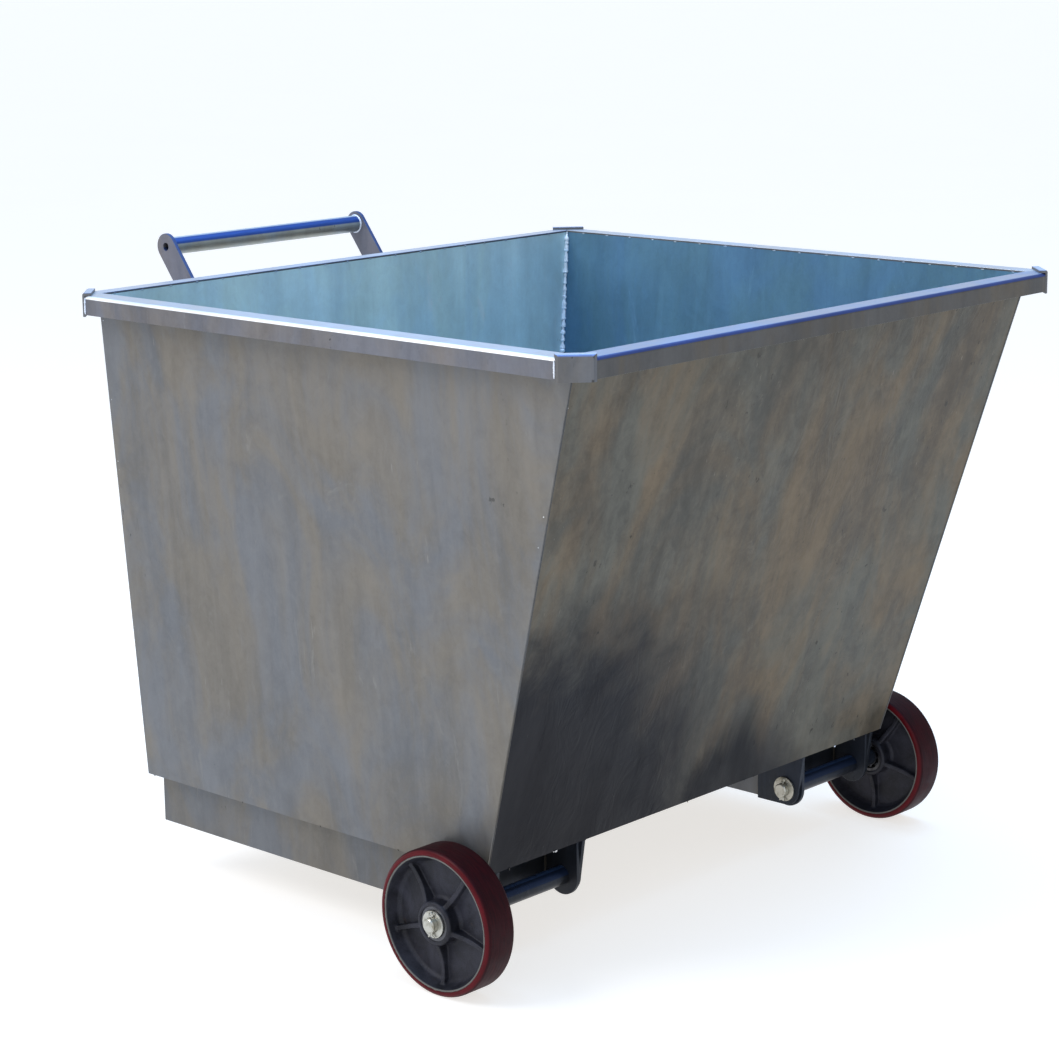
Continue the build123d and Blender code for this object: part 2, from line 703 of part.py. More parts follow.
def build_caster_wheel():
    """Moulded core with a bonded tyre, turning on the sleeve."""
    half = caster_wheel_width / 2
    half_hub = leg_inner_x - hub_end_gap
    bore = axle_bolt_diameter / 2 + axle_bolt_gap + sleeve_wall + sleeve_gap
    core_out = caster_radius - caster_tyre
    rim_in = core_out - caster_rim
    hub_out = caster_hub / 2
    web = caster_web / 2
    step = caster_step
    step_x = caster_step_width
    right = [
        (half_hub, bore), (half_hub, hub_out - step), (half_hub - step_x, hub_out), (web + step_x, hub_out),
        (web, hub_out + step), (web, rim_in - step), (web + step_x, rim_in),
        (half - caster_edge, rim_in), (half - caster_edge, core_out),
    ]
    core = revolve(polygon(*right, *[(-x, y) for x, y in reversed(right)]), Axis.X)
    inner = core_out + bond_gap
    tread = half - caster_shoulder_width
    edge = caster_radius - caster_crown
    side = caster_radius - caster_shoulder
    crest = ThreePointArc((tread, edge), (0, caster_radius), (-tread, edge))
    sides = Polyline(
        (-tread, edge), (-half, side), (-half, inner), (half, inner), (half, side), (tread, edge)
    )
    tyre = revolve(make_face([crest, sides]), Axis.X)
    place = Pos(0, caster_wheel_y, caster_radius)
    save("caster_wheel_core", (place * core).solid())
    save("caster_tyre", (place * tyre).solid())


os.makedirs("parts", exist_ok=True)
build_hopper()
build_rim()
build_channels()
build_brackets()
build_axles()
build_bearings()
build_wheels()
build_handle()
build_caster_mount()
build_caster_fork()
build_caster_wheel()
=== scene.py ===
"""Looks of a hand-pushed tipping cart: galvanised hopper, ribbed front wheels with red tyres, push handle.

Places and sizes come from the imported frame, in metres: +X right, -Y front (the sloping panel), +Z up.
"""

import logging
import math
import random
from contextlib import contextmanager
from dataclasses import dataclass
from enum import Enum
from typing import Iterator, Optional, Sequence

import bpy
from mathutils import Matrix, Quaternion, Vector, noise


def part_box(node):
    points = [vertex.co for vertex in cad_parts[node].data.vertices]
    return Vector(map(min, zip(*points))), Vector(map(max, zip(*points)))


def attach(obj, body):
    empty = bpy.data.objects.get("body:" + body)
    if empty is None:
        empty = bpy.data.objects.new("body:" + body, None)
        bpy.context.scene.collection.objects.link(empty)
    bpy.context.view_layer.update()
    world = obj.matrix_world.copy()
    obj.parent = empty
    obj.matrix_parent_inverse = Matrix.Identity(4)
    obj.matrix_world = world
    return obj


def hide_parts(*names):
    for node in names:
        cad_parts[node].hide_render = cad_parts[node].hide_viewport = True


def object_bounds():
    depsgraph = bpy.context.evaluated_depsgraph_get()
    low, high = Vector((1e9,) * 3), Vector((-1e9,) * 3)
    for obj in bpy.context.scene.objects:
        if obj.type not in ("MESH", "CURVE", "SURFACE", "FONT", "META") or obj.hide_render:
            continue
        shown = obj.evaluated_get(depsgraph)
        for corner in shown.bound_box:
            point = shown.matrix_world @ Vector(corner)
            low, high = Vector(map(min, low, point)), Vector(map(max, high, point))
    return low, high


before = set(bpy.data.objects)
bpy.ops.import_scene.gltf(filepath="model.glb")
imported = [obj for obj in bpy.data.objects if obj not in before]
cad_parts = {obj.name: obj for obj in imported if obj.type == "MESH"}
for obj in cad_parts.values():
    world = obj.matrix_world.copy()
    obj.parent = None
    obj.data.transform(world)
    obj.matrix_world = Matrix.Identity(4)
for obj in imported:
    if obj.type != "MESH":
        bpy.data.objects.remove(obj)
CAD_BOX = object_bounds()

LOG = logging.getLogger("tipping_cart")
MM = 0.001
MERGE_GAP = 0.002 * MM        # points of a CAD mesh closer than this are one
CLOSE_GAP = 0.01 * MM         # and of a new mesh
FLAT_ANGLE = 0.3              # degrees between faces that count as one flat face
WORN_ANGLE = 32.0             # degrees past which an edge is worn round
SAME_PLACE = 0.05 * MM        # corners this close to an extreme share it
PARALLEL = 1e-4               # cross product of directions that count as parallel
Point = tuple[float, float, float]
Outline = list[tuple[float, float]]


class Side(Enum):
    """The two mirrored halves of the cart."""

    LEFT = "left"
    RIGHT = "right"

    @property
    def sign(self) -> int:
        """-1 on the left, which is -X, and 1 on the right."""
        return -1 if self is Side.LEFT else 1

    @property
    def out(self) -> str:
        """Step for corner() that goes away from the cart's middle."""
        return "-x" if self is Side.LEFT else "+x"


class End(Enum):
    """Front and rear of the cart."""

    FRONT = "front"
    REAR = "rear"

    @property
    def out(self) -> str:
        """Step for corner() that goes away from the cart's middle."""
        return "-y" if self is End.FRONT else "+y"

    @property
    def inward(self) -> str:
        """Step for corner() that goes towards the cart's middle."""
        return "+y" if self is End.FRONT else "-y"


# ------------------------------------------------------------------ working in the scene
def select_only(*objects: bpy.types.Object) -> None:
    """Deselects everything, then selects the objects and makes the first one active.

    Args:
        objects: what the next operator works on.
    """
    bpy.ops.object.select_all(action="DESELECT")
    for item in objects:
        item.select_set(True)
    bpy.context.view_layer.objects.active = objects[0]


@contextmanager
def editing(piece: bpy.types.Object) -> Iterator[None]:
    """Edit mode on one piece with all of its mesh selected.

    Args:
        piece: the mesh object to edit.
    """
    select_only(piece)
    bpy.ops.object.mode_set(mode="EDIT")
    bpy.ops.mesh.select_all(action="SELECT")
    yield
    bpy.ops.object.mode_set(mode="OBJECT")


def apply_modifier(piece: bpy.types.Object, kind: str, **settings: object) -> None:
    """Adds one modifier, sets it up and applies it.

    Args:
        piece: the mesh object.
        kind: the modifier's type.
        settings: values of the modifier's own properties.
    """
    select_only(piece)
    modifier = piece.modifiers.new(kind.lower(), kind)
    for key, value in settings.items():
        setattr(modifier, key, value)
    bpy.ops.object.modifier_apply(modifier=modifier.name)


def smooth(piece: bpy.types.Object, degrees: float = 35.0) -> None:
    """Smooth shading, with edges sharper than the angle kept.

    Args:
        piece: the mesh object.
        degrees: the angle past which an edge stays sharp.
    """
    select_only(piece)
    bpy.ops.object.shade_smooth_by_angle(angle=math.radians(degrees))


def place_in_mesh(piece: bpy.types.Object) -> None:
    """Moves the object's own place, turn and size into its mesh.

    Args:
        piece: the mesh object.
    """
    select_only(piece)
    bpy.ops.object.transform_apply(location=True, rotation=True, scale=True)


def joined(name: str, parts: Sequence[bpy.types.Object]) -> bpy.types.Object:
    """Joins several meshes into one piece.

    Args:
        name: the name of the joined piece.
        parts: the meshes, which are used up.

    Returns:
        The joined object.
    """
    for part in parts:
        place_in_mesh(part)
    select_only(*parts)
    if len(parts) > 1:
        bpy.ops.object.join()
    piece = bpy.context.view_layer.objects.active
    piece.name = name
    piece.data.name = name
    return piece


def merged_copy(node: str, name: str) -> bpy.types.Object:
    """A copy of a CAD node's mesh with its loose triangles merged and its flat faces made whole.

    Args:
        node: the CAD node.
        name: the name of the new piece.

    Returns:
        The new mesh object.
    """
    piece = bpy.data.objects.new(name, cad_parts[node].data.copy())
    piece.data.name = name
    piece.data.materials.clear()
    bpy.context.scene.collection.objects.link(piece)
    select_only(piece)
    bpy.ops.mesh.customdata_custom_splitnormals_clear()
    with editing(piece):
        bpy.ops.mesh.remove_doubles(threshold=MERGE_GAP)
        bpy.ops.mesh.dissolve_limited(angle_limit=math.radians(FLAT_ANGLE))
    return piece


def corner(node: str, order: str) -> Vector:
    """A corner of a CAD node, found by going to one extreme after another.

    Args:
        node: the CAD node.
        order: such as "-z+x-y": lowest first, then furthest right of those, then foremost.

    Returns:
        The corner, in metres.
    """
    points = [vertex.co.copy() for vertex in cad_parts[node].data.vertices]
    for step in range(0, len(order), 2):
        axis = "xyz".index(order[step + 1])
        sign = -1 if order[step] == "-" else 1
        best = max(sign * point[axis] for point in points)
        points = [point for point in points if sign * point[axis] > best - SAME_PLACE]
    return points[0]


def middle(node: str) -> tuple[Vector, Vector]:
    """Centre and half size of a CAD node's box.

    Args:
        node: the CAD node.

    Returns:
        The centre and half of the width, length and height, in metres.
    """
    low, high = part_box(node)
    return (low + high) / 2, (high - low) / 2


def dress(
    piece: bpy.types.Object, finish: "Finish", body: str = "cart", replaces: Sequence[str] = (),
    degrees: float = 35.0,
) -> bpy.types.Object:
    """Gives a finished piece its shading, material and body, and hides the CAD nodes it stands for.

    Args:
        piece: the mesh object.
        finish: what it is made of.
        body: the CAD body it rides on.
        replaces: the CAD nodes it stands for.
        degrees: smoothing angle.

    Returns:
        The piece.
    """
    place_in_mesh(piece)
    smooth(piece, degrees)
    if not piece.data.materials:
        piece.data.materials.append(finish.material())
    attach(piece, body)
    if replaces:
        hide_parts(*replaces)
    LOG.info("%s on %s, %d faces", piece.name, body, len(piece.data.polygons))
    return piece


def soften(
    node: str, name: str, width: float, finish: "Finish", body: str = "cart", segments: int = 2
) -> bpy.types.Object:
    """Stands a copy of a CAD node with worn, rounded edges in the node's place.

    Args:
        node: the CAD node.
        name: the name of the new piece.
        width: how far the edges are cut back.
        finish: what it is made of.
        body: the CAD body it rides on.
        segments: steps across each rounded edge.

    Returns:
        The new piece.
    """
    piece = merged_copy(node, name)
    apply_modifier(
        piece, "BEVEL", width=width, segments=segments, limit_method="ANGLE",
        angle_limit=math.radians(WORN_ANGLE), use_clamp_overlap=True,
    )
    dress(piece, finish, body, [node])
    apply_modifier(piece, "WEIGHTED_NORMAL", keep_sharp=True, weight=100)
    return piece


# ------------------------------------------------------------------ finishes
class Graph:
    """Short way to build a node tree."""

    def __init__(self, owner: bpy.types.ID, shader: str, space: str) -> None:
        """Takes over the node tree of a material or a world.

        Args:
            owner: the new material or world.
            shader: type of the shader node it starts with.
            space: which texture coordinates its patterns use.
        """
        owner.use_nodes = True
        self.tree = owner.node_tree
        self.shader = next(node for node in self.tree.nodes if node.type == shader)
        source = self.add("ShaderNodeTexCoord")
        self.coords = source.outputs[space]
        self.normal = source.outputs["Normal"]

    def add(self, kind: str, **inputs: object) -> bpy.types.Node:
        """Adds a node and sets or links its inputs.

        Args:
            kind: the node's type.
            inputs: input names, with spaces as underscores, and a value or a socket for each.

        Returns:
            The node.
        """
        node = self.tree.nodes.new(kind)
        self.fill(node, **inputs)
        return node

    def fill(self, node: bpy.types.Node, **inputs: object) -> None:
        """Sets or links several inputs of a node.

        Args:
            node: the node.
            inputs: input names, with spaces as underscores, and a value or a socket for each.
        """
        for key, value in inputs.items():
            self.feed(node.inputs[key.replace("_", " ")], value)

    def feed(self, socket: bpy.types.NodeSocket, value: object) -> None:
        """Links a socket to another, or sets its value.

        Args:
            socket: the input.
            value: a number, a colour, a vector or an output socket.
        """
        if isinstance(value, bpy.types.NodeSocket):
            self.tree.links.new(value, socket)
        else:
            socket.default_value = value

    def placed(self, scale: Point, turn: Point = (0, 0, 0), shift: Point = (0, 0, 0)) -> bpy.types.NodeSocket:
        """Object coordinates, shifted, turned and scaled.

        Args:
            scale: scale along each axis.
            turn: rotation in degrees.
            shift: location.

        Returns:
            The vector socket.
        """
        turned = tuple(math.radians(angle) for angle in turn)
        node = self.add("ShaderNodeMapping", Vector=self.coords, Scale=scale, Rotation=turned, Location=shift)
        return node.outputs["Vector"]

    def noise(
        self, scale: float, detail: float = 3.0, rough: float = 0.55, distort: float = 0.0,
        vector: Optional[bpy.types.NodeSocket] = None,
    ) -> bpy.types.NodeSocket:
        """Noise between 0 and 1.

        Args:
            scale: features per metre, about.
            detail: octaves.
            rough: how strong the fine octaves are.
            distort: how far the pattern is bent.
            vector: coordinates, or object coordinates if left out.

        Returns:
            The value socket.
        """
        node = self.add(
            "ShaderNodeTexNoise", Vector=vector or self.coords, Scale=scale, Detail=detail,
            Roughness=rough, Distortion=distort,
        )
        return node.outputs["Fac"]

    def band(
        self, value: bpy.types.NodeSocket, low: float, high: float,
        out_low: float = 0.0, out_high: float = 1.0,
    ) -> bpy.types.NodeSocket:
        """Maps low to high smoothly onto out_low to out_high.

        Args:
            value: the input.
            low: the input's lower end.
            high: the input's upper end.
            out_low: the result at low.
            out_high: the result at high.

        Returns:
            The value socket.
        """
        node = self.add("ShaderNodeMapRange", Value=value)
        node.interpolation_type = "SMOOTHSTEP"
        self.fill(node, From_Min=low, From_Max=high, To_Min=out_low, To_Max=out_high)
        return node.outputs["Result"]

    def math(self, operation: str, a: object, b: object = 0.0) -> bpy.types.NodeSocket:
        """One arithmetic step.

        Args:
            operation: the Math node's operation.
            a: first value or socket.
            b: second value or socket.

        Returns:
            The value socket.
        """
        node = self.add("ShaderNodeMath")
        node.operation = operation
        self.feed(node.inputs[0], a)
        self.feed(node.inputs[1], b)
        return node.outputs["Value"]

    def blend(self, factor: object, a: object, b: object, mode: str = "MIX") -> bpy.types.NodeSocket:
        """Mixes two colours.

        Args:
            factor: share of the second colour.
            a: first colour or socket.
            b: second colour or socket.
            mode: how they are mixed.

        Returns:
            The colour socket.
        """
        node = self.add("ShaderNodeMix")
        node.data_type = "RGBA"
        node.blend_type = mode
        self.feed(node.inputs[0], factor)
        self.feed(node.inputs[6], a)
        self.feed(node.inputs[7], b)
        return node.outputs[2]

    def total(self, *terms: tuple[bpy.types.NodeSocket, float]) -> bpy.types.NodeSocket:
        """Weighted sum.

        Args:
            terms: sockets and their weights.

        Returns:
            The value socket.
        """
        value = None
        for socket, share in terms:
            part = socket if share == 1.0 else self.math("MULTIPLY", socket, share)
            value = part if value is None else self.math("ADD", value, part)
        return value

    def from_axle(self, centre: Point) -> bpy.types.NodeSocket:
        """Distance from a wheel's axle line.

        Args:
            centre: a point on the axle.

        Returns:
            The distance in metres.
        """
        from_centre = self.placed((1, 1, 1), shift=tuple(-part for part in centre))
        split = self.add("ShaderNodeSeparateXYZ", Vector=from_centre)
        squares = [self.math("POWER", split.outputs[axis], 2.0) for axis in "YZ"]
        return self.math("SQRT", self.math("ADD", *squares))

    def bump(self, height: bpy.types.NodeSocket, distance: float, strength: float = 1.0) -> None:
        """Gives the shader a bump.

        Args:
            height: the height pattern, 0 to 1.
            distance: metres from 0 to 1.
            strength: share of the effect.
        """
        node = self.add("ShaderNodeBump", Height=height, Distance=distance, Strength=strength)
        if self.shader.inputs["Normal"].is_linked:
            self.feed(node.inputs["Normal"], self.shader.inputs["Normal"].links[0].from_socket)
        self.feed(self.shader.inputs["Normal"], node.outputs["Normal"])


def rgb(tone: Point, factor: float = 1.0) -> tuple[float, ...]:
    """An opaque linear colour, made lighter or darker by the factor."""
    return (*[part * factor for part in tone], 1.0)


@dataclass(frozen=True)
class Finish:
    """What a surface is made of; each kind builds its own node tree once."""

    name: str
    slot: str

    def material(self) -> bpy.types.Material:
        """The finish's material, made the first time it is asked for."""
        found = bpy.data.materials.get(self.name)
        if found is None:
            found = bpy.data.materials.new(self.name)
            self.build(Graph(found, "BSDF_PRINCIPLED", "Object"))
        return found

    def build(self, graph: Graph) -> None:
        """Fills the node tree.

        Args:
            graph: the material's tree.
        """
        raise NotImplementedError


@dataclass(frozen=True)
class Shade:
    """A painted shadow: a soft dark region of a surface, round one point of the cart."""

    centre: Point
    reach: float
    tone: Point


@dataclass(frozen=True)
class Galvanised(Finish):
    """Hot-dip zinc: clouds, spangle, vertical runs, slanting wipe marks, oxide, specks and scratches; where
    given, painted light on rolled edges and upward faces, and painted shadows.
    """

    tone: Point = (0.20, 0.20, 0.20)
    contrast: float = 0.24
    warm: Point = (1.07, 1.0, 0.92)
    cool: Point = (0.92, 0.98, 1.12)
    metallic: float = 0.5
    specular: float = 0.25
    rough: tuple[float, float] = (0.36, 0.58)
    slant: float = 24.0
    runs: float = 1.0
    wipes: float = 1.0
    ripples: float = 0.0
    grime: float = 0.62
    gathering: float = 0.55
    # roll and top are painted light: tones for rolled edges and upward faces that stand in for highlights,
    # sky reflections and shade lines
    roll: Optional[Point] = None
    top: Optional[Point] = None
    # shades are painted shadows round given points of the cart
    shades: tuple[Shade, ...] = ()

    def build(self, graph: Graph) -> None:
        """Fills the node tree.

        Args:
            graph: the material's tree.
        """
        clouds = graph.noise(3.1, 6, 0.62, 0.9)
        runs = graph.noise(1.0, 5, 0.6, 0.35, graph.placed((30, 30, 1.5)))
        slanting = graph.placed((16, 16, 1.9), (self.slant, self.slant, 0), (3, 1, 7))
        wipes = graph.noise(1.0, 4, 0.6, 0.5, slanting)
        fine = graph.noise(260, 3, 0.6)
        grain = graph.noise(46, 4, 0.66, 0.9, graph.placed((1, 1, 0.6), (20, 15, 0)))
        spangle = graph.add("ShaderNodeTexVoronoi", Vector=graph.coords, Scale=85.0)
        cells = graph.add("ShaderNodeSeparateColor", Color=spangle.outputs["Color"]).outputs["Red"]
        layers = (
            (clouds, 1.0), (runs, 0.55 * self.runs), (wipes, 0.75 * self.wipes),
            (grain, 0.42), (cells, 0.05), (fine, 0.16),
        )
        average = 0.5 * sum(share for _, share in layers)
        spread = 0.42
        level = graph.band(graph.total(*layers), average - spread, average + spread)
        colour = graph.blend(level, rgb(self.tone, 1 - self.contrast), rgb(self.tone, 1 + self.contrast))
        hue = graph.noise(6.5, 5, 0.6, 1.2, graph.placed((1, 1, 0.45), shift=(5, 8, 1)))
        tint = graph.blend(graph.band(hue, 0.36, 0.64), rgb(self.warm), rgb(self.cool))
        colour = graph.blend(1.0, colour, tint, "MULTIPLY")
        oxide = graph.noise(13, 7, 0.7, 1.6, graph.placed((1, 1, 0.4), shift=(4, 2, 9)))
        white = graph.band(oxide, 0.60, 0.72)
        pale = rgb(tuple(min(0.7, 1.7 * part + 0.03) for part in self.tone))
        colour = graph.blend(graph.math("MULTIPLY", white, 0.38), colour, pale)
        specks = self.specks(graph)
        colour = graph.blend(graph.math("MULTIPLY", specks, self.grime), colour, rgb(self.tone, 0.28))
        scratch = self.scratches(graph)
        colour = graph.blend(graph.math("MULTIPLY", scratch, 0.45), colour, pale)
        # painted shadows
        for shade in self.shades:
            colour = self.shaded(graph, colour, shade, clouds)
        sheen = graph.total((wipes, 0.5), (clouds, 0.5))
        rough = graph.band(sheen, 0.36, 0.64, *self.rough)
        # the base colour carries the painted light on rolled edges and upward faces
        graph.fill(
            graph.shader, Base_Color=self.rubbed(graph, colour, level), Metallic=self.metallic,
            Specular_IOR_Level=self.specular,
            Roughness=graph.total((rough, 1.0), (white, 0.14), (scratch, -0.1)),
        )
        relief = graph.total(
            (runs, 0.55), (wipes, 0.25), (fine, 0.07), (white, 0.22), (specks, 0.2), (scratch, -0.2)
        )
        if self.ripples:
            relief = graph.total((relief, 1.0), (self.rippled(graph), self.ripples))
        graph.bump(relief, 0.6 * MM, 0.85)

    def rubbed(
        self, graph: Graph, colour: bpy.types.NodeSocket, level: bpy.types.NodeSocket
    ) -> bpy.types.NodeSocket:
        """Paints light onto rolled edges and upward faces: each gets a tone of its own, standing in for the
        highlight, sky reflection and shade that fall there.

        Args:
            graph: the material's tree.
            colour: the colour so far.
            level: the mottling, which goes on over the edge.

        Returns:
            The colour with its edges.
        """
        # painted light: normals part way up mark the rolled edge, normals straight up mark the top face, and
        # each is painted its own tone
        upward = graph.add("ShaderNodeSeparateXYZ", Vector=graph.normal).outputs["Z"]
        for tone, start, end in ((self.roll, 0.18, 0.36), (self.top, 0.88, 0.97)):
            if tone is not None:
                mottled = graph.blend(level, rgb(tone, 0.86), rgb(tone))
                colour = graph.blend(graph.band(upward, start, end), colour, mottled)
        return colour

    def specks(self, graph: Graph) -> bpy.types.NodeSocket:
        """Dark pits and dross, gathered here and there.

        Args:
            graph: the material's tree.

        Returns:
            1 on a speck, 0 elsewhere.
        """
        pits = graph.band(graph.noise(120, 3, 0.6, 0.3, graph.placed((1, 1, 0.5))), 0.655, 0.70)
        crowd = graph.noise(5.5, 3, 0.6, 0.5, graph.placed((1, 1, 0.4), shift=(2, 6, 3)))
        gathered = graph.band(crowd, self.gathering, self.gathering + 0.13)
        return graph.math("MULTIPLY", pits, graph.band(gathered, 0.0, 1.0, 0.12, 1.0))

    def scratches(self, graph: Graph) -> bpy.types.NodeSocket:
        """Sparse thin bright scratches.

        Args:
            graph: the material's tree.

        Returns:
            1 on a scratch, 0 elsewhere.
        """
        line = graph.noise(1.0, 2, 0.5, 0.25, graph.placed((230, 230, 5), (38, 28, 0)))
        few = graph.noise(4.5, 2, 0.5, 0.0, graph.placed((1, 1, 1), shift=(7, 3, 2)))
        sparse = graph.band(few, 0.50, 0.60)
        return graph.math("MULTIPLY", graph.band(line, 0.72, 0.76), sparse)

    def rippled(self, graph: Graph) -> bpy.types.NodeSocket:
        """Waves where the zinc ran and set in folds.

        Args:
            graph: the material's tree.

        Returns:
            Height of the folds, 0 where the sheet is smooth.
        """
        wave = graph.noise(26, 4, 0.55, 2.8, graph.placed((1, 1, 0.5), (0, 0, 20)))
        where = graph.noise(2.4, 2, 0.5, 0.4, graph.placed((1, 1, 1), shift=(1.2, 3.1, 0.4)))
        return graph.math("MULTIPLY", wave, graph.band(where, 0.47, 0.60))

    def shaded(
        self, graph: Graph, colour: bpy.types.NodeSocket, shade: Shade, clouds: bpy.types.NodeSocket
    ) -> bpy.types.NodeSocket:
        """Paints a shadow: darkens and tints the colour round one point of the cart, with a cloudy edge.

        Args:
            graph: the material's tree.
            colour: the colour so far.
            shade: where and how.
            clouds: breaks up the edge.

        Returns:
            The shaded colour.
        """
        scale = 1 / shade.reach
        shift = tuple(-value * scale for value in shade.centre)
        gradient = graph.add("ShaderNodeTexGradient", Vector=graph.placed((scale, scale, scale), shift=shift))
        gradient.gradient_type = "SPHERICAL"
        edge = graph.total((gradient.outputs["Fac"], 1.0), (clouds, 0.9))
        return graph.blend(graph.band(edge, 0.58, 1.0, 0.0, 0.97), colour, rgb(shade.tone))


@dataclass(frozen=True)
class CastIron(Finish):
    """Sand-cast iron under thin grey paint: grainy, with worn spots, and painted shade in the corners."""

    base: Point = (0.011, 0.011, 0.015)
    rubbed: Point = (0.036, 0.036, 0.049)
    edge: Point = (0.13, 0.127, 0.118)
    crest: Point = (0.10, 0.098, 0.095)
    hollow: Point = (0.004, 0.004, 0.006)
    rust: Point = (0.05, 0.032, 0.026)
    turned_edge: tuple[float, float] = (3.2 * MM, 2.2 * MM)
    radius: float = 0.09
    centre: Point = (0, 0, 0)

    def build(self, graph: Graph) -> None:
        """Fills the node tree.

        Args:
            graph: the material's tree.
        """
        clouds = graph.noise(24, 5, 0.65, 0.5)
        grain = graph.noise(620, 3, 0.6)
        tone = graph.band(graph.total((clouds, 0.8), (grain, 0.25)), 0.36, 0.70)
        colour = graph.blend(tone, rgb(self.base), rgb(self.rubbed))
        rust = graph.band(graph.noise(70, 5, 0.7, 0.4), 0.62, 0.74)
        colour = graph.blend(graph.math("MULTIPLY", rust, 0.4), colour, rgb(self.rust))
        pointed = graph.add("ShaderNodeNewGeometry").outputs["Pointiness"]
        # painted shade: the hollows, found by low pointiness, are darkened
        colour = graph.blend(graph.band(pointed, 0.50, 0.40, 0.0, 0.75), colour, rgb(self.hollow))
        colour = graph.blend(graph.band(pointed, 0.53, 0.60, 0.0, 0.8), colour, rgb(self.crest))
        start, end = (self.radius - depth for depth in self.turned_edge)
        turned = graph.band(graph.from_axle(self.centre), start, end)
        graph.fill(
            graph.shader, Base_Color=graph.blend(turned, colour, rgb(self.edge)), Metallic=0.25,
            Specular_IOR_Level=0.25, Roughness=graph.band(clouds, 0.3, 0.7, 0.42, 0.62),
        )
        graph.bump(graph.total((grain, 0.5), (graph.noise(150, 3), 0.6)), 0.4 * MM, 0.8)


@dataclass(frozen=True)
class Polyurethane(Finish):
    """Red cast tyre compound: satin, darker and dusty on the tread, with fine scuffs round it."""

    base: Point = (0.066, 0.0020, 0.0048)
    dust: Point = (0.0120, 0.0012, 0.0032)
    tread_edge: tuple[float, float] = (3 * MM, 0.5 * MM)
    glow_depth: Point = (3 * MM, 0.6 * MM, 0.5 * MM)
    radius: float = 0.1
    centre: Point = (0, 0, 0)

    def build(self, graph: Graph) -> None:
        """Fills the node tree.

        Args:
            graph: the material's tree.
        """
        clouds = graph.noise(30, 4, 0.6, 0.4)
        colour = graph.blend(graph.band(clouds, 0.35, 0.7), rgb(self.base), rgb(self.base, 1.35))
        start, end = (self.radius - depth for depth in self.tread_edge)
        tread = graph.band(graph.from_axle(self.centre), start, end)
        scuff = graph.noise(1.0, 3, 0.6, 0.0, graph.placed((420, 40, 40)))
        worn = graph.math("MULTIPLY", tread, graph.band(scuff, 0.3, 0.75, 0.72, 0.98))
        graph.fill(
            graph.shader, Base_Color=graph.blend(worn, colour, rgb(self.dust)),
            Roughness=graph.total((graph.band(clouds, 0.3, 0.7, 0.30, 0.42), 1.0), (worn, 0.22)),
            Subsurface_Weight=0.04, Subsurface_Radius=self.glow_depth, Specular_IOR_Level=0.12,
        )
        graph.bump(graph.total((scuff, 0.3), (graph.noise(260, 3), 0.3)), 0.12 * MM, 0.5)


@dataclass(frozen=True)
class Machined(Finish):
    """Turned, rolled or plated steel: bright, with fine rings and stains."""

    base: Point = (0.56, 0.55, 0.51)
    stain: Point = (0.30, 0.28, 0.22)
    rough: float = 0.28

    def build(self, graph: Graph) -> None:
        """Fills the node tree.

        Args:
            graph: the material's tree.
        """
        clouds = graph.noise(90, 4, 0.65, 0.6)
        rings = graph.noise(1.0, 2, 0.5, 0.0, graph.placed((900, 60, 60)))
        stained = graph.band(clouds, 0.45, 0.78)
        graph.fill(
            graph.shader, Base_Color=graph.blend(stained, rgb(self.base), rgb(self.stain)), Metallic=0.95,
            Roughness=graph.band(clouds, 0.3, 0.75, self.rough, self.rough + 0.22),
        )
        graph.bump(graph.total((rings, 0.6), (clouds, 0.4)), 0.08 * MM, 0.6)


@dataclass(frozen=True)
class Moulded(Finish):
    """Moulded nylon or rubber: matt, faintly mottled, dusty."""

    base: Point = (0.03, 0.03, 0.032)
    dust: Point = (0.10, 0.098, 0.092)
    rough: float = 0.55

    def build(self, graph: Graph) -> None:
        """Fills the node tree.

        Args:
            graph: the material's tree.
        """
        clouds = graph.noise(60, 5, 0.65, 0.6)
        fine = graph.noise(500, 3, 0.6)
        dusty = graph.band(clouds, 0.45, 0.8, 0.0, 0.7)
        graph.fill(
            graph.shader, Base_Color=graph.blend(dusty, rgb(self.base), rgb(self.dust)),
            Roughness=graph.band(clouds, 0.3, 0.7, self.rough, self.rough + 0.2),
        )
        graph.bump(fine, 0.12 * MM, 0.5)


@dataclass(frozen=True)
class Backdrop(Finish):
    """Plain pale studio floor with the faintest unevenness."""

    base: Point = (0.50, 0.50, 0.50)
    glow: float = 0.70
    glow_tone: Point = (1.0, 0.975, 0.94)

    def build(self, graph: Graph) -> None:
        """Fills the node tree.

        Args:
            graph: the material's tree.
        """
        clouds = graph.band(graph.noise(1.2, 2), 0.3, 0.7)
        graph.fill(
            graph.shader, Base_Color=graph.blend(clouds, rgb(self.base), rgb(self.base, 1.02)), Roughness=0.9,
            Specular_IOR_Level=0.1, Emission_Color=rgb(self.glow_tone), Emission_Strength=self.glow,
        )


SIDE_SHEET = Galvanised("side_sheet_zinc", "hopper_sheet", tone=(0.158, 0.153, 0.143), wipes=0.8)
# Front sheet: the sides' zinc painted darker and warmer as painted shade, since this face leans out over the
# floor; its two shades are painted shadows at the lower left and lower middle.
FRONT_SHEET = Galvanised(
    "front_sheet_zinc", "hopper_sheet", tone=(0.112, 0.096, 0.075), contrast=0.5, warm=(1.12, 1.0, 0.85),
    cool=(0.88, 0.98, 1.04), slant=-40.0, runs=0.5, wipes=1.5, ripples=1.8, grime=0.8, gathering=0.47,
    shades=(
        Shade((-0.34, -0.34, 0.17), 0.50, (0.002, 0.003, 0.008)),
        Shade((0.06, -0.32, 0.05), 0.27, (0.004, 0.005, 0.009)),
    ),
)
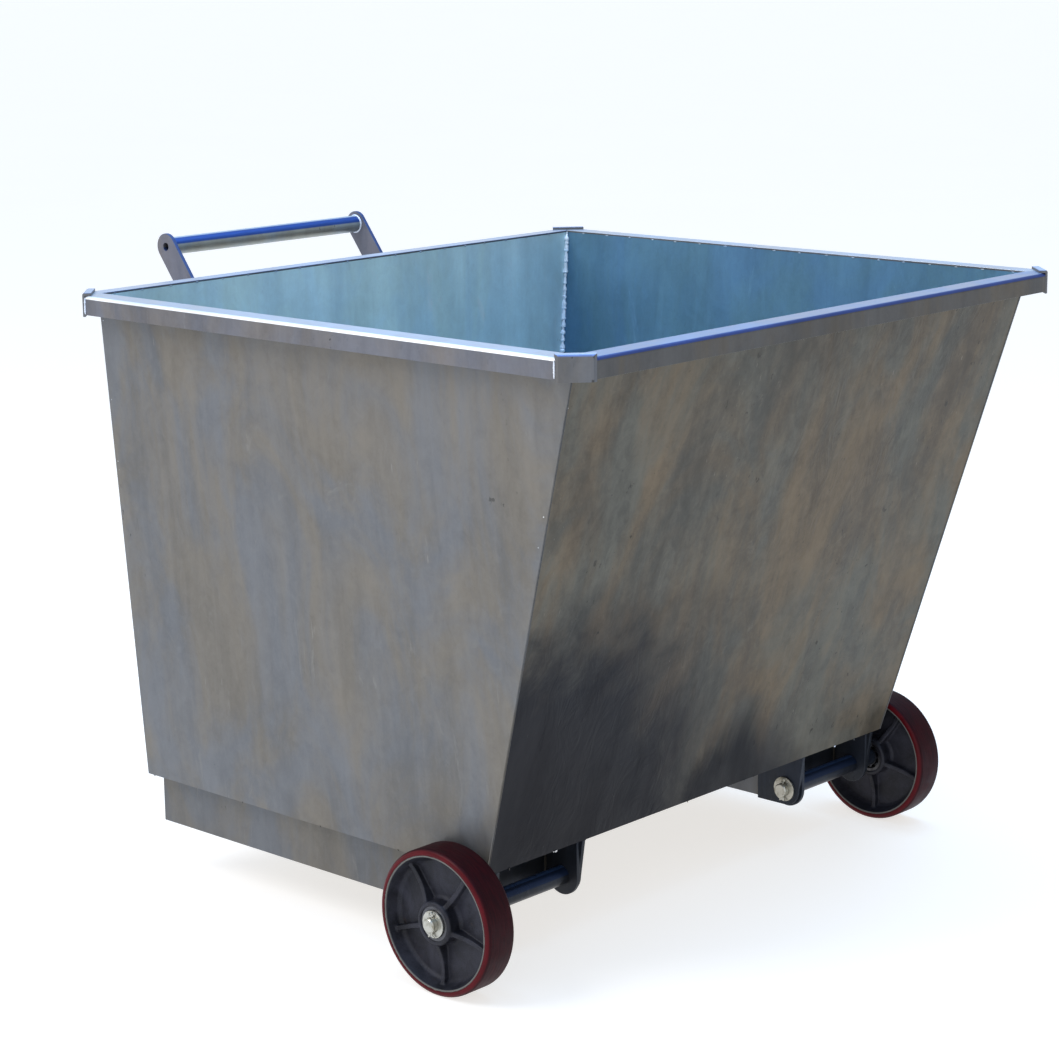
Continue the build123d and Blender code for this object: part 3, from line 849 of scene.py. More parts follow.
# Inner faces, painted light: the blue tones stand in for skylight inside the hopper's shade; the rear tone,
# also used inside the front and on the floor, is painted paler as the more lit face.
SIDE_INSIDE = Galvanised(
    "side_inside_zinc", "hopper_sheet", tone=(0.10, 0.205, 0.295), contrast=0.2, warm=(1.02, 1.01, 0.96),
    cool=(0.96, 0.98, 1.08), wipes=0.7, rough=(0.42, 0.6),
)
REAR_INSIDE = Galvanised(
    "rear_inside_zinc", "hopper_sheet", tone=(0.57, 0.71, 0.72), contrast=0.16, warm=(1.0, 1.0, 0.97),
    cool=(0.95, 0.99, 1.05), wipes=0.8, rough=(0.42, 0.6),
)
# Rim tones are painted light: the side rim's near-white roll is a painted highlight, the blue rolls and tops
# are painted sky reflections, the rear roll is a dark painted shade line, the front rim's darker tone is
# painted shade, and the straps' roll and top are painted reflections too.
SIDE_RIM = Galvanised(
    "side_rim_zinc", "rim_sheet", tone=(0.152, 0.147, 0.150), contrast=0.26, warm=(1.05, 1.0, 0.95),
    grime=0.8, gathering=0.48, roll=(0.93, 0.94, 0.96), top=(0.46, 0.50, 0.58), rough=(0.30, 0.5),
)
FRONT_RIM = Galvanised(
    "front_rim_zinc", "rim_sheet", tone=(0.100, 0.092, 0.080), contrast=0.24, roll=(0.05, 0.08, 0.25),
    top=(0.27, 0.33, 0.47), rough=(0.30, 0.5),
)
REAR_RIM = Galvanised(
    "rear_rim_zinc", "rim_sheet", tone=(0.155, 0.155, 0.150), contrast=0.22, roll=(0.03, 0.06, 0.20),
    top=(0.46, 0.51, 0.62), rough=(0.30, 0.5),
)
STRAP_ZINC = Galvanised(
    "strap_zinc", "rim_sheet", tone=(0.140, 0.136, 0.130), contrast=0.26, roll=(0.17, 0.22, 0.42),
    top=(0.44, 0.50, 0.62), grime=0.8, gathering=0.48, rough=(0.36, 0.56),
)
# The handle bar's blue roll and pale top are painted sky reflection and highlight; the arms' dark blue roll
# and top are painted reflections.
HANDLE_ZINC = Galvanised(
    "handle_bar_zinc", "rim_sheet", tone=(0.30, 0.325, 0.31), roll=(0.028, 0.075, 0.29),
    top=(0.50, 0.56, 0.63), metallic=0.6, rough=(0.34, 0.46),
)
ARM_ZINC = Galvanised(
    "handle_arm_zinc", "rim_sheet", tone=(0.150, 0.146, 0.160), roll=(0.05, 0.08, 0.20),
    top=(0.06, 0.10, 0.24),
)
FRAME_STEEL = Galvanised("frame_zinc", "frame_steel", tone=(0.135, 0.132, 0.125), rough=(0.34, 0.56))
# Near-black zinc standing in for the shade under the hopper: painted shade on the sleeves, webs, gussets,
# ears and their welds.
PAINTED_SHADE_STEEL = Galvanised(
    "shadowed_zinc", "frame_steel", tone=(0.024, 0.028, 0.036), contrast=0.4, rough=(0.28, 0.48)
)
# Axle tube: near-black painted shade, with a blue painted sky reflection along its top.
AXLE_TUBE_ZINC = Galvanised(
    "axle_tube_zinc", "frame_steel", tone=(0.024, 0.028, 0.036), contrast=0.4, roll=(0.02, 0.035, 0.08),
    top=(0.07, 0.14, 0.33), metallic=0.7, rough=(0.24, 0.36),
)
WELD_ZINC = Galvanised(
    "weld_zinc", "rim_sheet", tone=(0.80, 0.83, 0.86), contrast=0.14, metallic=0.25, rough=(0.3, 0.45),
    grime=0.3,
)
DOT_ZINC = Galvanised("weld_dot_zinc", "rim_sheet", tone=(0.30, 0.36, 0.42), contrast=0.2)
SEAM_ZINC = Galvanised("seam_zinc", "hopper_sheet", tone=(0.085, 0.084, 0.082), contrast=0.3)
BRIGHT_ZINC = Machined(
    "bright_zinc_plate", "bright_zinc", base=(0.50, 0.49, 0.44), stain=(0.24, 0.22, 0.16)
)
# Bearing steel painted dark as painted shade, so that the bearings read as the shaded recess of the hub.
RECESS_SHADE_STEEL = Machined(
    "ground_bearing_steel", "bearing_steel", base=(0.10, 0.10, 0.11), stain=(0.05, 0.05, 0.055), rough=0.3
)
NYLON = Moulded("caster_nylon", "caster_core")
GREY_RUBBER = Moulded("caster_rubber", "caster_tyre_grey", base=(0.05, 0.05, 0.053), rough=0.65)


# ------------------------------------------------------------------ shapes
def strip_grid(name: str, across: int, along: int) -> bpy.types.Object:
    """A flat grid that is then wrapped or bent into shape: across cells one way and along cells the other.

    Args:
        name: the new object's name.
        across: cells along the grid's own X.
        along: cells along the grid's own Y.

    Returns:
        The grid, 1 by 1, from 0 to 1 each way.
    """
    bpy.ops.object.select_all(action="DESELECT")
    bpy.ops.mesh.primitive_grid_add(
        x_subdivisions=across, y_subdivisions=along, size=1, location=(0.5, 0.5, 0)
    )
    grid = bpy.context.active_object
    grid.name = name
    place_in_mesh(grid)
    return grid


def bent_tube(
    name: str, path: Sequence[Vector], radii: Sequence[float], around: int = 8
) -> bpy.types.Object:
    """A closed tube that follows a path, with a radius at each of its points.

    Args:
        name: the new object's name.
        path: points in metres.
        radii: the tube's radius at each point.
        around: sides of the tube.

    Returns:
        The tube.
    """
    last = len(path) - 1
    tube = strip_grid(name, around, last)
    frames = []
    normal = Vector((0, 0, 1))
    for index in range(last + 1):
        forward = (path[min(index + 1, last)] - path[max(index - 1, 0)]).normalized()
        side = normal.cross(forward)
        if side.length < PARALLEL:
            side = Vector((1, 0, 0)).cross(forward)
        side.normalize()
        normal = forward.cross(side).normalized()
        frames.append((side.copy(), normal.copy()))
    for vertex in tube.data.vertices:
        index = round(vertex.co.y * last)
        angle = 2 * math.pi * vertex.co.x
        side, up = frames[index]
        offset = side * math.cos(angle) + up * math.sin(angle)
        vertex.co = path[index] + offset * radii[index]
    with editing(tube):
        bpy.ops.mesh.remove_doubles(threshold=CLOSE_GAP)
        bpy.ops.mesh.select_all(action="DESELECT")
        bpy.ops.mesh.select_non_manifold()
        bpy.ops.mesh.fill()
        bpy.ops.mesh.select_all(action="SELECT")
        bpy.ops.mesh.normals_make_consistent(inside=False)
    return tube


def weld_bead(
    start: Vector, end: Vector, radius: float, seed: int, pitch: float = 3.2 * MM, uneven: float = 0.16
) -> bpy.types.Object:
    """A weld bead from start to end, scalloped by the overlapping puddles and a little uneven.

    Args:
        start: where the bead starts.
        end: where it ends.
        radius: the bead's radius.
        seed: makes each bead uneven in its own way.
        pitch: length of one puddle.
        uneven: how much the puddles differ in size.

    Returns:
        The bead.
    """
    dice = random.Random(seed)
    puddles = max(2, round((end - start).length / pitch))
    puddle = (1.0, 0.93, 0.80)
    steps = 3 * puddles
    path = []
    radii = []
    size = 1.0
    for step in range(steps + 1):
        if step % 3 == 0:
            size = dice.uniform(1 - 1.1 * uneven, 1 + uneven)
        taper = min(1.0, 0.35 + step / 4, 0.35 + (steps - step) / 4)
        wobble = Vector([dice.uniform(-0.12, 0.12) * radius for _ in range(3)])
        path.append(start.lerp(end, step / steps) + wobble)
        radii.append(radius * size * taper * puddle[step % 3])
    return bent_tube("bead", path, radii)


def stitches(
    start: Vector, end: Vector, length: float, gap: float, radius: float, seed: int
) -> list[bpy.types.Object]:
    """Short welds spaced along a line.

    Args:
        start: where the line starts.
        end: where it ends.
        length: length of each weld.
        gap: clear length between welds.
        radius: the bead's radius.
        seed: makes them uneven.

    Returns:
        The beads.
    """
    dice = random.Random(seed)
    total = (end - start).length
    along = (end - start).normalized()
    beads = []
    place = gap / 2
    while place + length < total:
        near = start + along * place
        far = start + along * (place + length * dice.uniform(0.75, 1.2))
        beads.append(weld_bead(near, far, radius, seed + len(beads)))
        place += (length + gap) * dice.uniform(0.9, 1.1)
    return beads


def drips(start: Vector, end: Vector, count: int, seed: int) -> list[bpy.types.Object]:
    """Small frozen drops of zinc that hang from an edge.

    Args:
        start: where the edge starts.
        end: where it ends.
        count: how many.
        seed: spreads them.

    Returns:
        The drops.
    """
    dice = random.Random(seed)
    shape = ((0.0, 0.9), (0.35, 0.75), (0.7, 0.55), (0.9, 0.62), (1.0, 0.3))
    root = 0.5 * MM
    found = []
    for _ in range(count):
        top = start.lerp(end, dice.uniform(0.02, 0.98))
        size = dice.uniform(0.8, 1.6) * MM
        fall = dice.uniform(1.0, 3.4) * MM
        path = [top - Vector((0, 0, fall * part - root)) for part, _ in shape]
        found.append(bent_tube("drip", path, [size * width for _, width in shape]))
    return found


def ring(
    x: float, centre: Vector, radii: tuple[float, float], steps: int, start: float = 0.0
) -> list[Vector]:
    """Points round an ellipse that lies across the cart's X.

    Args:
        x: its place along X.
        centre: a point on its axis.
        radii: reach along Y and along Z.
        steps: steps once round.
        start: angle of the first point in degrees, 0 towards +Y.

    Returns:
        The points, the first one again at the end.
    """
    angles = [math.radians(start) + 2 * math.pi * step / steps for step in range(steps + 1)]
    return [
        Vector((x, centre.y + radii[0] * math.cos(angle), centre.z + radii[1] * math.sin(angle)))
        for angle in angles
    ]


def lathe(name: str, profile: Outline, centre: Vector, steps: int = 96) -> bpy.types.Object:
    """Spins a closed outline about a line along X through the centre.

    Args:
        name: the new object's name.
        profile: (x, radius) points of the closed outline, relative to the centre.
        centre: a point on the axis.
        steps: steps round the axis.

    Returns:
        The turned solid.
    """
    bpy.ops.object.select_all(action="DESELECT")
    bpy.ops.mesh.primitive_circle_add(vertices=len(profile), radius=1, location=(0, 0, 0))
    piece = bpy.context.active_object
    piece.name = name
    for vertex, (x, radius) in zip(piece.data.vertices, profile):
        vertex.co = (centre.x + x, centre.y, centre.z + radius)
    with editing(piece):
        bpy.ops.mesh.spin(steps=steps, angle=2 * math.pi, center=centre, axis=(1, 0, 0))
        bpy.ops.mesh.remove_doubles(threshold=CLOSE_GAP)
        bpy.ops.mesh.normals_make_consistent(inside=False)
    return piece


def arc(x: float, y: float, radius: float, start: float, end: float, steps: int) -> Outline:
    """Points along an arc.

    Args:
        x: centre along the axis.
        y: centre's radius.
        radius: the arc's own radius.
        start: first angle in degrees.
        end: last angle in degrees.
        steps: number of steps.

    Returns:
        The points.
    """
    angles = [math.radians(start + (end - start) * step / steps) for step in range(steps + 1)]
    return [(x + radius * math.cos(angle), y + radius * math.sin(angle)) for angle in angles]


# ------------------------------------------------------------------ hopper
@dataclass
class Sheet:
    """A welded plate, given by its outer face's four corners, slightly buckled as welding leaves it."""

    name: str
    node: str
    corners: tuple[Vector, Vector, Vector, Vector]
    outside: Galvanised
    inside: Galvanised
    buckle: float = 1.3 * MM
    thickness: float = 3.0 * MM
    cells: int = 56
    seed: int = 0

    def build(self) -> bpy.types.Object:
        """Models the plate.

        Returns:
            The piece, in place of its CAD node.
        """
        piece = strip_grid(self.name, self.cells, self.cells)
        low_a, low_b, high_b, high_a = self.corners
        outward = (low_b - low_a).cross(high_a - low_a).normalized()
        for vertex in piece.data.vertices:
            u, v = vertex.co.x, vertex.co.y
            place = low_a.lerp(low_b, u).lerp(high_a.lerp(high_b, u), v)
            pinned = min(1.0, 9 * u * (1 - u)) * min(1.0, 9 * v * (1 - v))
            vertex.co = place + outward * (pinned * self.buckle * self.wave(u, v))
        piece.data.materials.append(self.outside.material())
        piece.data.materials.append(self.inside.material())
        apply_modifier(
            piece, "SOLIDIFY", thickness=self.thickness, offset=-1.0, use_even_offset=False,
            material_offset=1, material_offset_rim=0,
        )
        return dress(piece, self.outside, replaces=[self.node])

    def wave(self, u: float, v: float) -> float:
        """Height of the buckle, about -1 to 1.

        Args:
            u: place along the plate's lower edge, 0 to 1.
            v: place up the plate, 0 to 1.

        Returns:
            The height.
        """
        broad = noise.noise(Vector((2.1 * u + self.seed, 1.7 * v, 0.3)))
        close = noise.noise(Vector((5.5 * u, 5.0 * v + self.seed, 4.1)))
        return 1.5 * broad + 0.45 * close


@dataclass
class Hopper:
    """Side, front and rear plates, the floor, and the welds that join them."""

    bead: float = 3.6 * MM
    inset: float = 1.9 * MM
    corner_pitch: float = 6 * MM
    corner_uneven: float = 0.42
    seam: float = 0.9 * MM
    drop_count: int = 5
    drip_count: int = 3
    drip_width: float = 8 * MM
    drip_places: tuple[float, ...] = (-0.31, 0.32)

    def plate(self, name: str, node: str, out: str, ends: tuple[str, str], seed: int) -> None:
        """Models one wall of the hopper.

        Args:
            name: the wall's short name.
            node: its CAD node.
            out: step of corner() towards its outer face.
            ends: steps of corner() towards its ends, left and then right as seen from outside.
            seed: buckles each wall in its own way.
        """
        first, last = ends
        orders = (f"-z{out}{first}", f"-z{out}{last}", f"+z{out}{last}", f"+z{out}{first}")
        outside = FRONT_SHEET if node == "front_panel" else SIDE_SHEET
        # the inner faces carry painted skylight tones, paler on the front, rear and floor than on the sides
        inside = SIDE_INSIDE if node.startswith("side") else REAR_INSIDE
        corners = tuple(corner(node, order) for order in orders)
        Sheet(f"hopper_{name}", node, corners, outside, inside, seed=seed).build()

    def walls(self) -> None:
        """Models the four walls."""
        for side in Side:
            ends = ("-y", "+y") if side is Side.RIGHT else ("+y", "-y")
            self.plate(f"side_{side.value}", f"side_panel_{side.value}", side.out, ends, 3 + side.sign)
        for end in End:
            ends = ("-x", "+x") if end is End.FRONT else ("+x", "-x")
            self.plate(end.value, f"{end.value}_panel", end.out, ends, 8 if end is End.FRONT else 12)

    def floor_plate(self) -> None:
        """Models the floor, its underside first."""
        corners = tuple(corner("floor_panel", order) for order in ("-z-x+y", "-z+x+y", "-z+x-y", "-z-x-y"))
        low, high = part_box("floor_panel")
        Sheet(
            "hopper_floor", "floor_panel", corners, SIDE_SHEET, REAR_INSIDE, buckle=0.0,
            thickness=high.z - low.z, cells=12,
        ).build()

    def inner_corners(self, level: str) -> dict[str, Vector]:
        """The inner corners of the hopper at its floor or at its mouth.

        Args:
            level: "-z" or "+z".

        Returns:
            Front and rear, left and right corners by name.
        """
        return {
            f"{end.value}_{side.value}": corner(f"{end.value}_panel", f"{level}{end.inward}{side.out}")
            for end in End
            for side in Side
        }

    def welds(self) -> None:
        """Beads down the inside corners and round the floor, and dressed seams down the outside corners."""
        low, high = self.inner_corners("-z"), self.inner_corners("+z")
        inward = {
            key: Vector((-math.copysign(1, foot.x), -math.copysign(1, foot.y), 0)) * self.inset
            for key, foot in low.items()
        }
        floor_low, floor_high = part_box("floor_panel")
        lift = Vector((0, 0, 2 * floor_high.z - 2 * floor_low.z))
        beads = []
        for index, (key, shift) in enumerate(inward.items()):
            foot, head = low[key] + lift + shift, high[key] + shift
            beads.append(weld_bead(foot, head, self.bead, 20 + index, self.corner_pitch, self.corner_uneven))
        spots = []
        for key in ("front_left", "front_right", "rear_right", "rear_left"):
            share = (floor_high.z + self.inset - low[key].z) / (high[key].z - low[key].z)
            spots.append(low[key].lerp(high[key], share) + inward[key])
        for index, spot in enumerate(spots):
            beads.append(weld_bead(spot, spots[(index + 1) % len(spots)], self.bead, 40 + index))
        dress(joined("weld_hopper_inside", beads), WELD_ZINC)
        seams = []
        for end in End:
            for side in Side:
                node = f"{end.value}_panel"
                bottom, top = (corner(node, f"{level}{end.out}{side.out}") for level in ("-z", "+z"))
                seams.append(weld_bead(bottom, top, self.seam, 60 + len(seams)))
        dress(joined("weld_hopper_corners", seams), SEAM_ZINC)

    def drops(self) -> None:
        """Zinc drops along the lower edges of the hopper."""
        low_left, low_right = corner("front_panel", "-z-y-x"), corner("front_panel", "-z-y+x")
        found = drips(low_left, low_right, self.drop_count, 5)
        for side in Side:
            front, rear = (corner(f"side_panel_{side.value}", f"-z{side.out}{end.out}") for end in End)
            found += drips(front, rear, self.drop_count, 9 + side.sign)
        dress(joined("zinc_drops", found), SEAM_ZINC)
        bright = []
        for x in self.drip_places:
            spot = Vector((x, low_left.y, low_left.z))
            bright += drips(spot, spot + Vector((self.drip_width, 0, 0)), self.drip_count, 70 + len(bright))
        dress(joined("zinc_drips_bright", bright), WELD_ZINC)

    def build(self) -> None:
        """Models the whole hopper."""
        self.walls()
        self.floor_plate()
        self.welds()
        self.drops()


@dataclass
class Rim:
    """Folded angles round the mouth, straps over the cut corners, and their welds."""

    edge: float = 0.5 * MM
    rolled_edge: float = 1.2 * MM
    strap_edge: float = 0.9 * MM
    bead: float = 1.2 * MM
    dot: float = 6 * MM
    dot_gap: float = 44 * MM
    strap_bead: float = 1.2 * MM
    end_margin: float = 1.5 * MM
    lap: float = 6 * MM
    proud: float = 0.4 * MM

    def members(self) -> None:
        """Rounds the cut edges of the four angles and the four straps."""
        for name in ("front", "rear", "left", "right"):
            # each angle's finish carries its own painted light
            finish = {"front": FRONT_RIM, "rear": REAR_RIM}.get(name, SIDE_RIM)
            edge = self.rolled_edge if name == "rear" else self.edge
            soften(f"rim_{name}", f"rim_angle_{name}", edge, finish)
        for end in End:
            for side in Side:
                place = f"{end.value}_{side.value}"
                soften(f"rim_corner_{place}", f"rim_strap_{place}", self.strap_edge, STRAP_ZINC, segments=3)

    def welds(self) -> None:
        """Stitch welds where the plates meet the flanges, and beads down the ends of the straps."""
        edges = (
            ("rear_panel", "-y", "x"), ("side_panel_left", "+x", "y"),
            ("side_panel_right", "-x", "y"), ("front_panel", "+y", "x"),
        )
        dots = []
        for index, (node, inward, along) in enumerate(edges):
            start, end = (corner(node, f"+z{inward}{sign}{along}") for sign in "-+")
            dots += stitches(start, end, self.dot, self.dot_gap, self.bead, 100 + 40 * index)
        dress(joined("weld_rim_dots", dots), DOT_ZINC)
        rim_low, rim_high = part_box("rim_rear")
        bottom = rim_low.z + self.end_margin
        top = rim_high.z - 2 * self.end_margin
        beads = []
        for end in End:
            for side in Side:
                low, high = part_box(f"rim_corner_{end.value}_{side.value}")
                x = side.sign * (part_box("rim_right")[1].x + self.proud)
                y = high.y - self.lap if end is End.FRONT else low.y + self.lap
                foot, head = Vector((x, y, bottom)), Vector((x, y, top))
                beads.append(weld_bead(foot, head, self.strap_bead, 300 + len(beads)))
        dress(joined("weld_rim_straps", beads), WELD_ZINC)

    def build(self) -> None:
        """Models the whole rim."""
        self.members()
        self.welds()


# ------------------------------------------------------------------ under-frame and axles
@dataclass
class UnderFrame:
    """Fork channels with their web plates, gussets, ears and welds."""

    edge: float = 0.8 * MM
    bead: float = 2.4 * MM
    foot_lift: float = 8 * MM
    foot_inset: float = 4 * MM
    stitch: float = 40 * MM
    stitch_gap: float = 70 * MM
    stitch_setback: float = 60 * MM
    stitch_inset: float = 3 * MM
    stitch_drop: float = 1 * MM

    def plates(self, side: Side) -> None:
        """Rounds the edges of one side's plates.

        Args:
            side: which side.
        """
        name = side.value
        soften(f"fork_channel_{name}", f"fork_channel_skin_{name}", self.edge, FRAME_STEEL)
        # the web, gussets and ears get the painted shade finish
        soften(f"channel_web_{name}", f"channel_end_{name}", self.edge, PAINTED_SHADE_STEEL)
        for place in ("outer", "inner"):
            for part in ("gusset", "ear"):
                soften(
                    f"axle_{part}_{name}_{place}", f"{part}_{name}_{place}", self.edge, PAINTED_SHADE_STEEL, segments=3
                )

    def welds(self) -> None:
        """Beads along each gusset's top and rear edge, and stitches along the channels."""
        beads = []
        for side in Side:
            for place in ("outer", "inner"):
                low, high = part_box(f"axle_gusset_{side.value}_{place}")
                outward = side.sign if place == "outer" else -side.sign
                x = high.x if outward > 0 else low.x
                front, rear = Vector((x, low.y, high.z)), Vector((x, high.y, high.z))
                beads.append(weld_bead(front, rear, self.bead, 400 + len(beads)))
                inset = Vector((outward * self.foot_inset, 0, 0))
                foot = Vector((x, high.y, low.z + self.foot_lift))
                beads.append(weld_bead(foot - inset, rear - inset, self.bead, 420 + len(beads)))
            low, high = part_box(f"fork_channel_{side.value}")
            for x in (low.x + self.stitch_inset, high.x - self.stitch_inset):
                start = Vector((x, low.y + self.stitch_setback, high.z - self.stitch_drop))
                end = Vector((x, high.y, high.z - self.stitch_drop))
                beads += stitches(start, end, self.stitch, self.stitch_gap, self.bead, 450 + len(beads))
        # the under-frame welds get the painted shade finish
        dress(joined("weld_underframe", beads), PAINTED_SHADE_STEEL)

    def build(self) -> None:
        """Models the whole under-frame."""
        for side in Side:
            self.plates(side)
        self.welds()


@dataclass
class FrontAxles:
    """Short axles with tubes, sleeves, washers and split pins."""

    rod_edge: float = 0.3 * MM
    tube_edge: float = 0.4 * MM
    washer_edge: float = 0.35 * MM
    half_pin: float = 2.45 * MM
    pin_wire: float = 1.15 * MM
    pin_sides: int = 10
    eye: tuple[float, float] = (3.0 * MM, 3.2 * MM)
    eye_gap: float = 1.2 * MM
    eye_overlap: float = 0.5 * MM
    tail_gap: float = 1.5 * MM
    tail_bend: float = 5.5 * MM
    tail_turns: tuple[int, ...] = (12, 24, 36, 48, 60, 72)

    def rods(self, side: Side) -> None:
        """Rounds the edges of one side's turned pieces.

        Args:
            side: which side.
        """
        name = side.value
        soften(f"axle_{name}", f"axle_rod_{name}", self.rod_edge, BRIGHT_ZINC)
        soften(f"axle_spacer_tube_{name}", f"spacer_tube_{name}", self.tube_edge, AXLE_TUBE_ZINC)
        # the sleeve gets the painted shade finish
        soften(f"hub_sleeve_{name}", f"sleeve_{name}", self.tube_edge, PAINTED_SHADE_STEEL)

    def split_pin(self, centre: Vector, reach: float) -> list[bpy.types.Object]:
        """One split pin through the axle: two wires, an eye at the top and tails bent apart below.

        Args:
            centre: where the pin crosses the axle's centre line.
            reach: the axle's radius.

        Returns:
            The two wires and the eye.
        """
        x, y, z = centre
        top = z + reach + self.eye_gap
        low = z - reach - self.tail_gap
        bend = self.tail_bend
        paths = [ring(x, Vector((x, y, top + self.eye[1])), self.eye, 20, -90)]
        for lean in (-1, 1):
            wire_y = y + lean * self.pin_wire
            path = [Vector((x, wire_y, height)) for height in (top + self.eye_overlap, z, low)]
            for turn in self.tail_turns:
                angle = math.radians(turn)
                tail_y = wire_y + lean * bend * (1 - math.cos(angle))
                path.append(Vector((x, tail_y, low - bend * math.sin(angle))))
            paths.append(path)
        return [bent_tube("wire", path, [self.pin_wire] * len(path), self.pin_sides) for path in paths]

    def pins(self) -> None:
        """All four split pins as one piece."""
        parts = []
        for side in Side:
            centre, half = middle(f"axle_{side.value}")
            for x in self.pin_places(side):
                parts += self.split_pin(Vector((x, centre.y, centre.z)), half.z)
        dress(joined("split_pin_wires", parts), BRIGHT_ZINC, replaces=["split_pins"])

    def pin_places(self, side: Side) -> tuple[float, float]:
        """Where pins go through one axle: as far inside both its ends as the outermost pin is.

        Args:
            side: which side.

        Returns:
            The inner and outer X.
        """
        low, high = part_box(f"axle_{side.value}")
        pins_low, pins_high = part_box("split_pins")
        margin = high.x - pins_high.x if side is Side.RIGHT else pins_low.x - low.x
        return (low.x + margin + self.half_pin, high.x - margin - self.half_pin)

    def build(self) -> None:
        """Models both axles."""
        for side in Side:
            self.rods(side)
        soften("axle_washers", "washers", self.washer_edge, BRIGHT_ZINC)
        self.pins()


@dataclass
class FrontWheel:
    """A ribbed casting with a bonded red tyre."""

    side: Side
    voxel: float = 1.15 * MM
    shoulder: float = 6.0 * MM
    flank: float = 6.9 * MM

    def build_casting(self) -> None:
        """Melts the casting's edges into the soft fillets that sand casting leaves."""
        name = self.side.value
        node = f"wheel_casting_{name}"
        piece = merged_copy(node, f"wheel_centre_{name}")
        apply_modifier(piece, "REMESH", mode="VOXEL", voxel_size=self.voxel, use_smooth_shade=True)
        apply_modifier(piece, "SMOOTH", factor=0.5, iterations=4)
        centre, half = middle(node)
        iron = CastIron(f"cast_iron_{name}", "wheel_iron", radius=half.z, centre=tuple(centre))
        dress(piece, iron, f"wheel_{name}", [node], 60)

    def build_tyre(self) -> None:
        """Turns the tyre: a flat tread between rounded shoulders, on the casting's outside."""
        name = self.side.value
        node = f"wheel_tyre_{name}"
        centre, half = middle(node)
        inner = middle(f"wheel_casting_{name}")[1].z
        bend = self.shoulder
        profile = [(half.x, inner), (half.x, half.z - self.flank)]
        profile += arc(half.x - bend, half.z - bend, bend, 5, 90, 8)
        mirror = [(-x, y) for x, y in reversed(profile)]
        tyre = lathe(f"tyre_{name}", profile + mirror, centre)
        red = Polyurethane(f"red_polyurethane_{name}", "tyre_red", radius=half.z, centre=tuple(centre))
        dress(tyre, red, f"wheel_{name}", [node], 40)

    def build(self) -> None:
        """Models the wheel."""
        self.build_casting()
        self.build_tyre()


@dataclass
class PushHandle:
    """Tube between two flat arms, welded to the rear plate."""

    bead: float = 2.2 * MM
    bar_edge: float = 0.3 * MM
    arm_edge: float = 0.8 * MM
    foot_depth: float = 0.1 * MM
    ring_steps: int = 60

    def build(self) -> None:
        """Rounds the arms' edges and adds the welds."""
        soften("handle_tube", "handle_bar", self.bar_edge, HANDLE_ZINC)
        beads = []
        centre, half = middle("handle_tube")
        for side in Side:
            node = f"handle_arm_{side.value}"
            soften(node, f"handle_flat_{side.value}", self.arm_edge, ARM_ZINC, segments=3)
            low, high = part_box(node)
            points = [vertex.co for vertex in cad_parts[node].data.vertices]
            foot = [point.z for point in points if point.y < low.y + self.foot_depth]
            for x in (low.x, high.x):
                bottom, top = Vector((x, low.y, min(foot))), Vector((x, low.y, max(foot)))
                beads.append(weld_bead(bottom, top, self.bead, 500 + len(beads)))
            inner_x = low.x if side is Side.RIGHT else high.x
            loop = ring(inner_x, centre, (half.z, half.z), self.ring_steps)
            sizes = [self.bead * (0.62 + 0.16 * ((step * 7) % 3) / 2) for step in range(len(loop))]
            beads.append(bent_tube("ring", loop, sizes))
        dress(joined("weld_handle", beads), WELD_ZINC)


@dataclass
class RearCaster:
    """Swivel caster under the floor: each piece's finish, its body and how far its edges are worn."""

    plan: tuple[tuple[str, Finish, str, float], ...] = (
        ("caster_pad", FRAME_STEEL, "cart", 0.8 * MM),
        ("caster_studs", BRIGHT_ZINC, "cart", 0.5 * MM),
        ("caster_nuts", BRIGHT_ZINC, "cart", 0.4 * MM),
        ("caster_top_plate", BRIGHT_ZINC, "cart", 0.6 * MM),
        ("caster_kingpin", BRIGHT_ZINC, "cart", 0.4 * MM),
        ("caster_kingpin_nut", BRIGHT_ZINC, "cart", 0.5 * MM),
        ("caster_fork", BRIGHT_ZINC, "caster_swivel_fork", 0.7 * MM),
        ("caster_axle_bolt", BRIGHT_ZINC, "caster_swivel_fork", 0.4 * MM),
        ("caster_axle_nut", BRIGHT_ZINC, "caster_swivel_fork", 0.4 * MM),
        ("caster_wheel_core", NYLON, "caster_wheel", 0.8 * MM),
        ("caster_tyre", GREY_RUBBER, "caster_wheel", 0.6 * MM),
    )

    def build(self) -> None:
        """Rounds every caster piece's edges and gives each its finish."""
        for node, finish, body, width in self.plan:
            soften(node, f"{node}_finished", width, finish, body)


# ------------------------------------------------------------------ what stays as it is
def paint_kept_nodes() -> None:
    """Gives the small CAD pieces that keep their own shape a finish."""
    # the bearings and caster balls get the dark painted shade of their recesses
    kept = {
        "bearing_inner_rings": RECESS_SHADE_STEEL,
        "bearing_outer_rings_left": RECESS_SHADE_STEEL,
        "bearing_outer_rings_right": RECESS_SHADE_STEEL,
        "bearing_balls_left": RECESS_SHADE_STEEL,
        "bearing_balls_right": RECESS_SHADE_STEEL,
        "bearing_spacers": BRIGHT_ZINC,
        "caster_race_balls": RECESS_SHADE_STEEL,
        "caster_axle_sleeve": BRIGHT_ZINC,
    }
    for name, finish in kept.items():
        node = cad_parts[name]
        node.data.materials.clear()
        node.data.materials.append(finish.material())


# ------------------------------------------------------------------ studio
@dataclass(frozen=True)
class Softbox:
    """One large square soft light: where it stands, its side, its watts and its colour."""

    name: str
    place: Point
    size: float
    power: float
    colour: Point


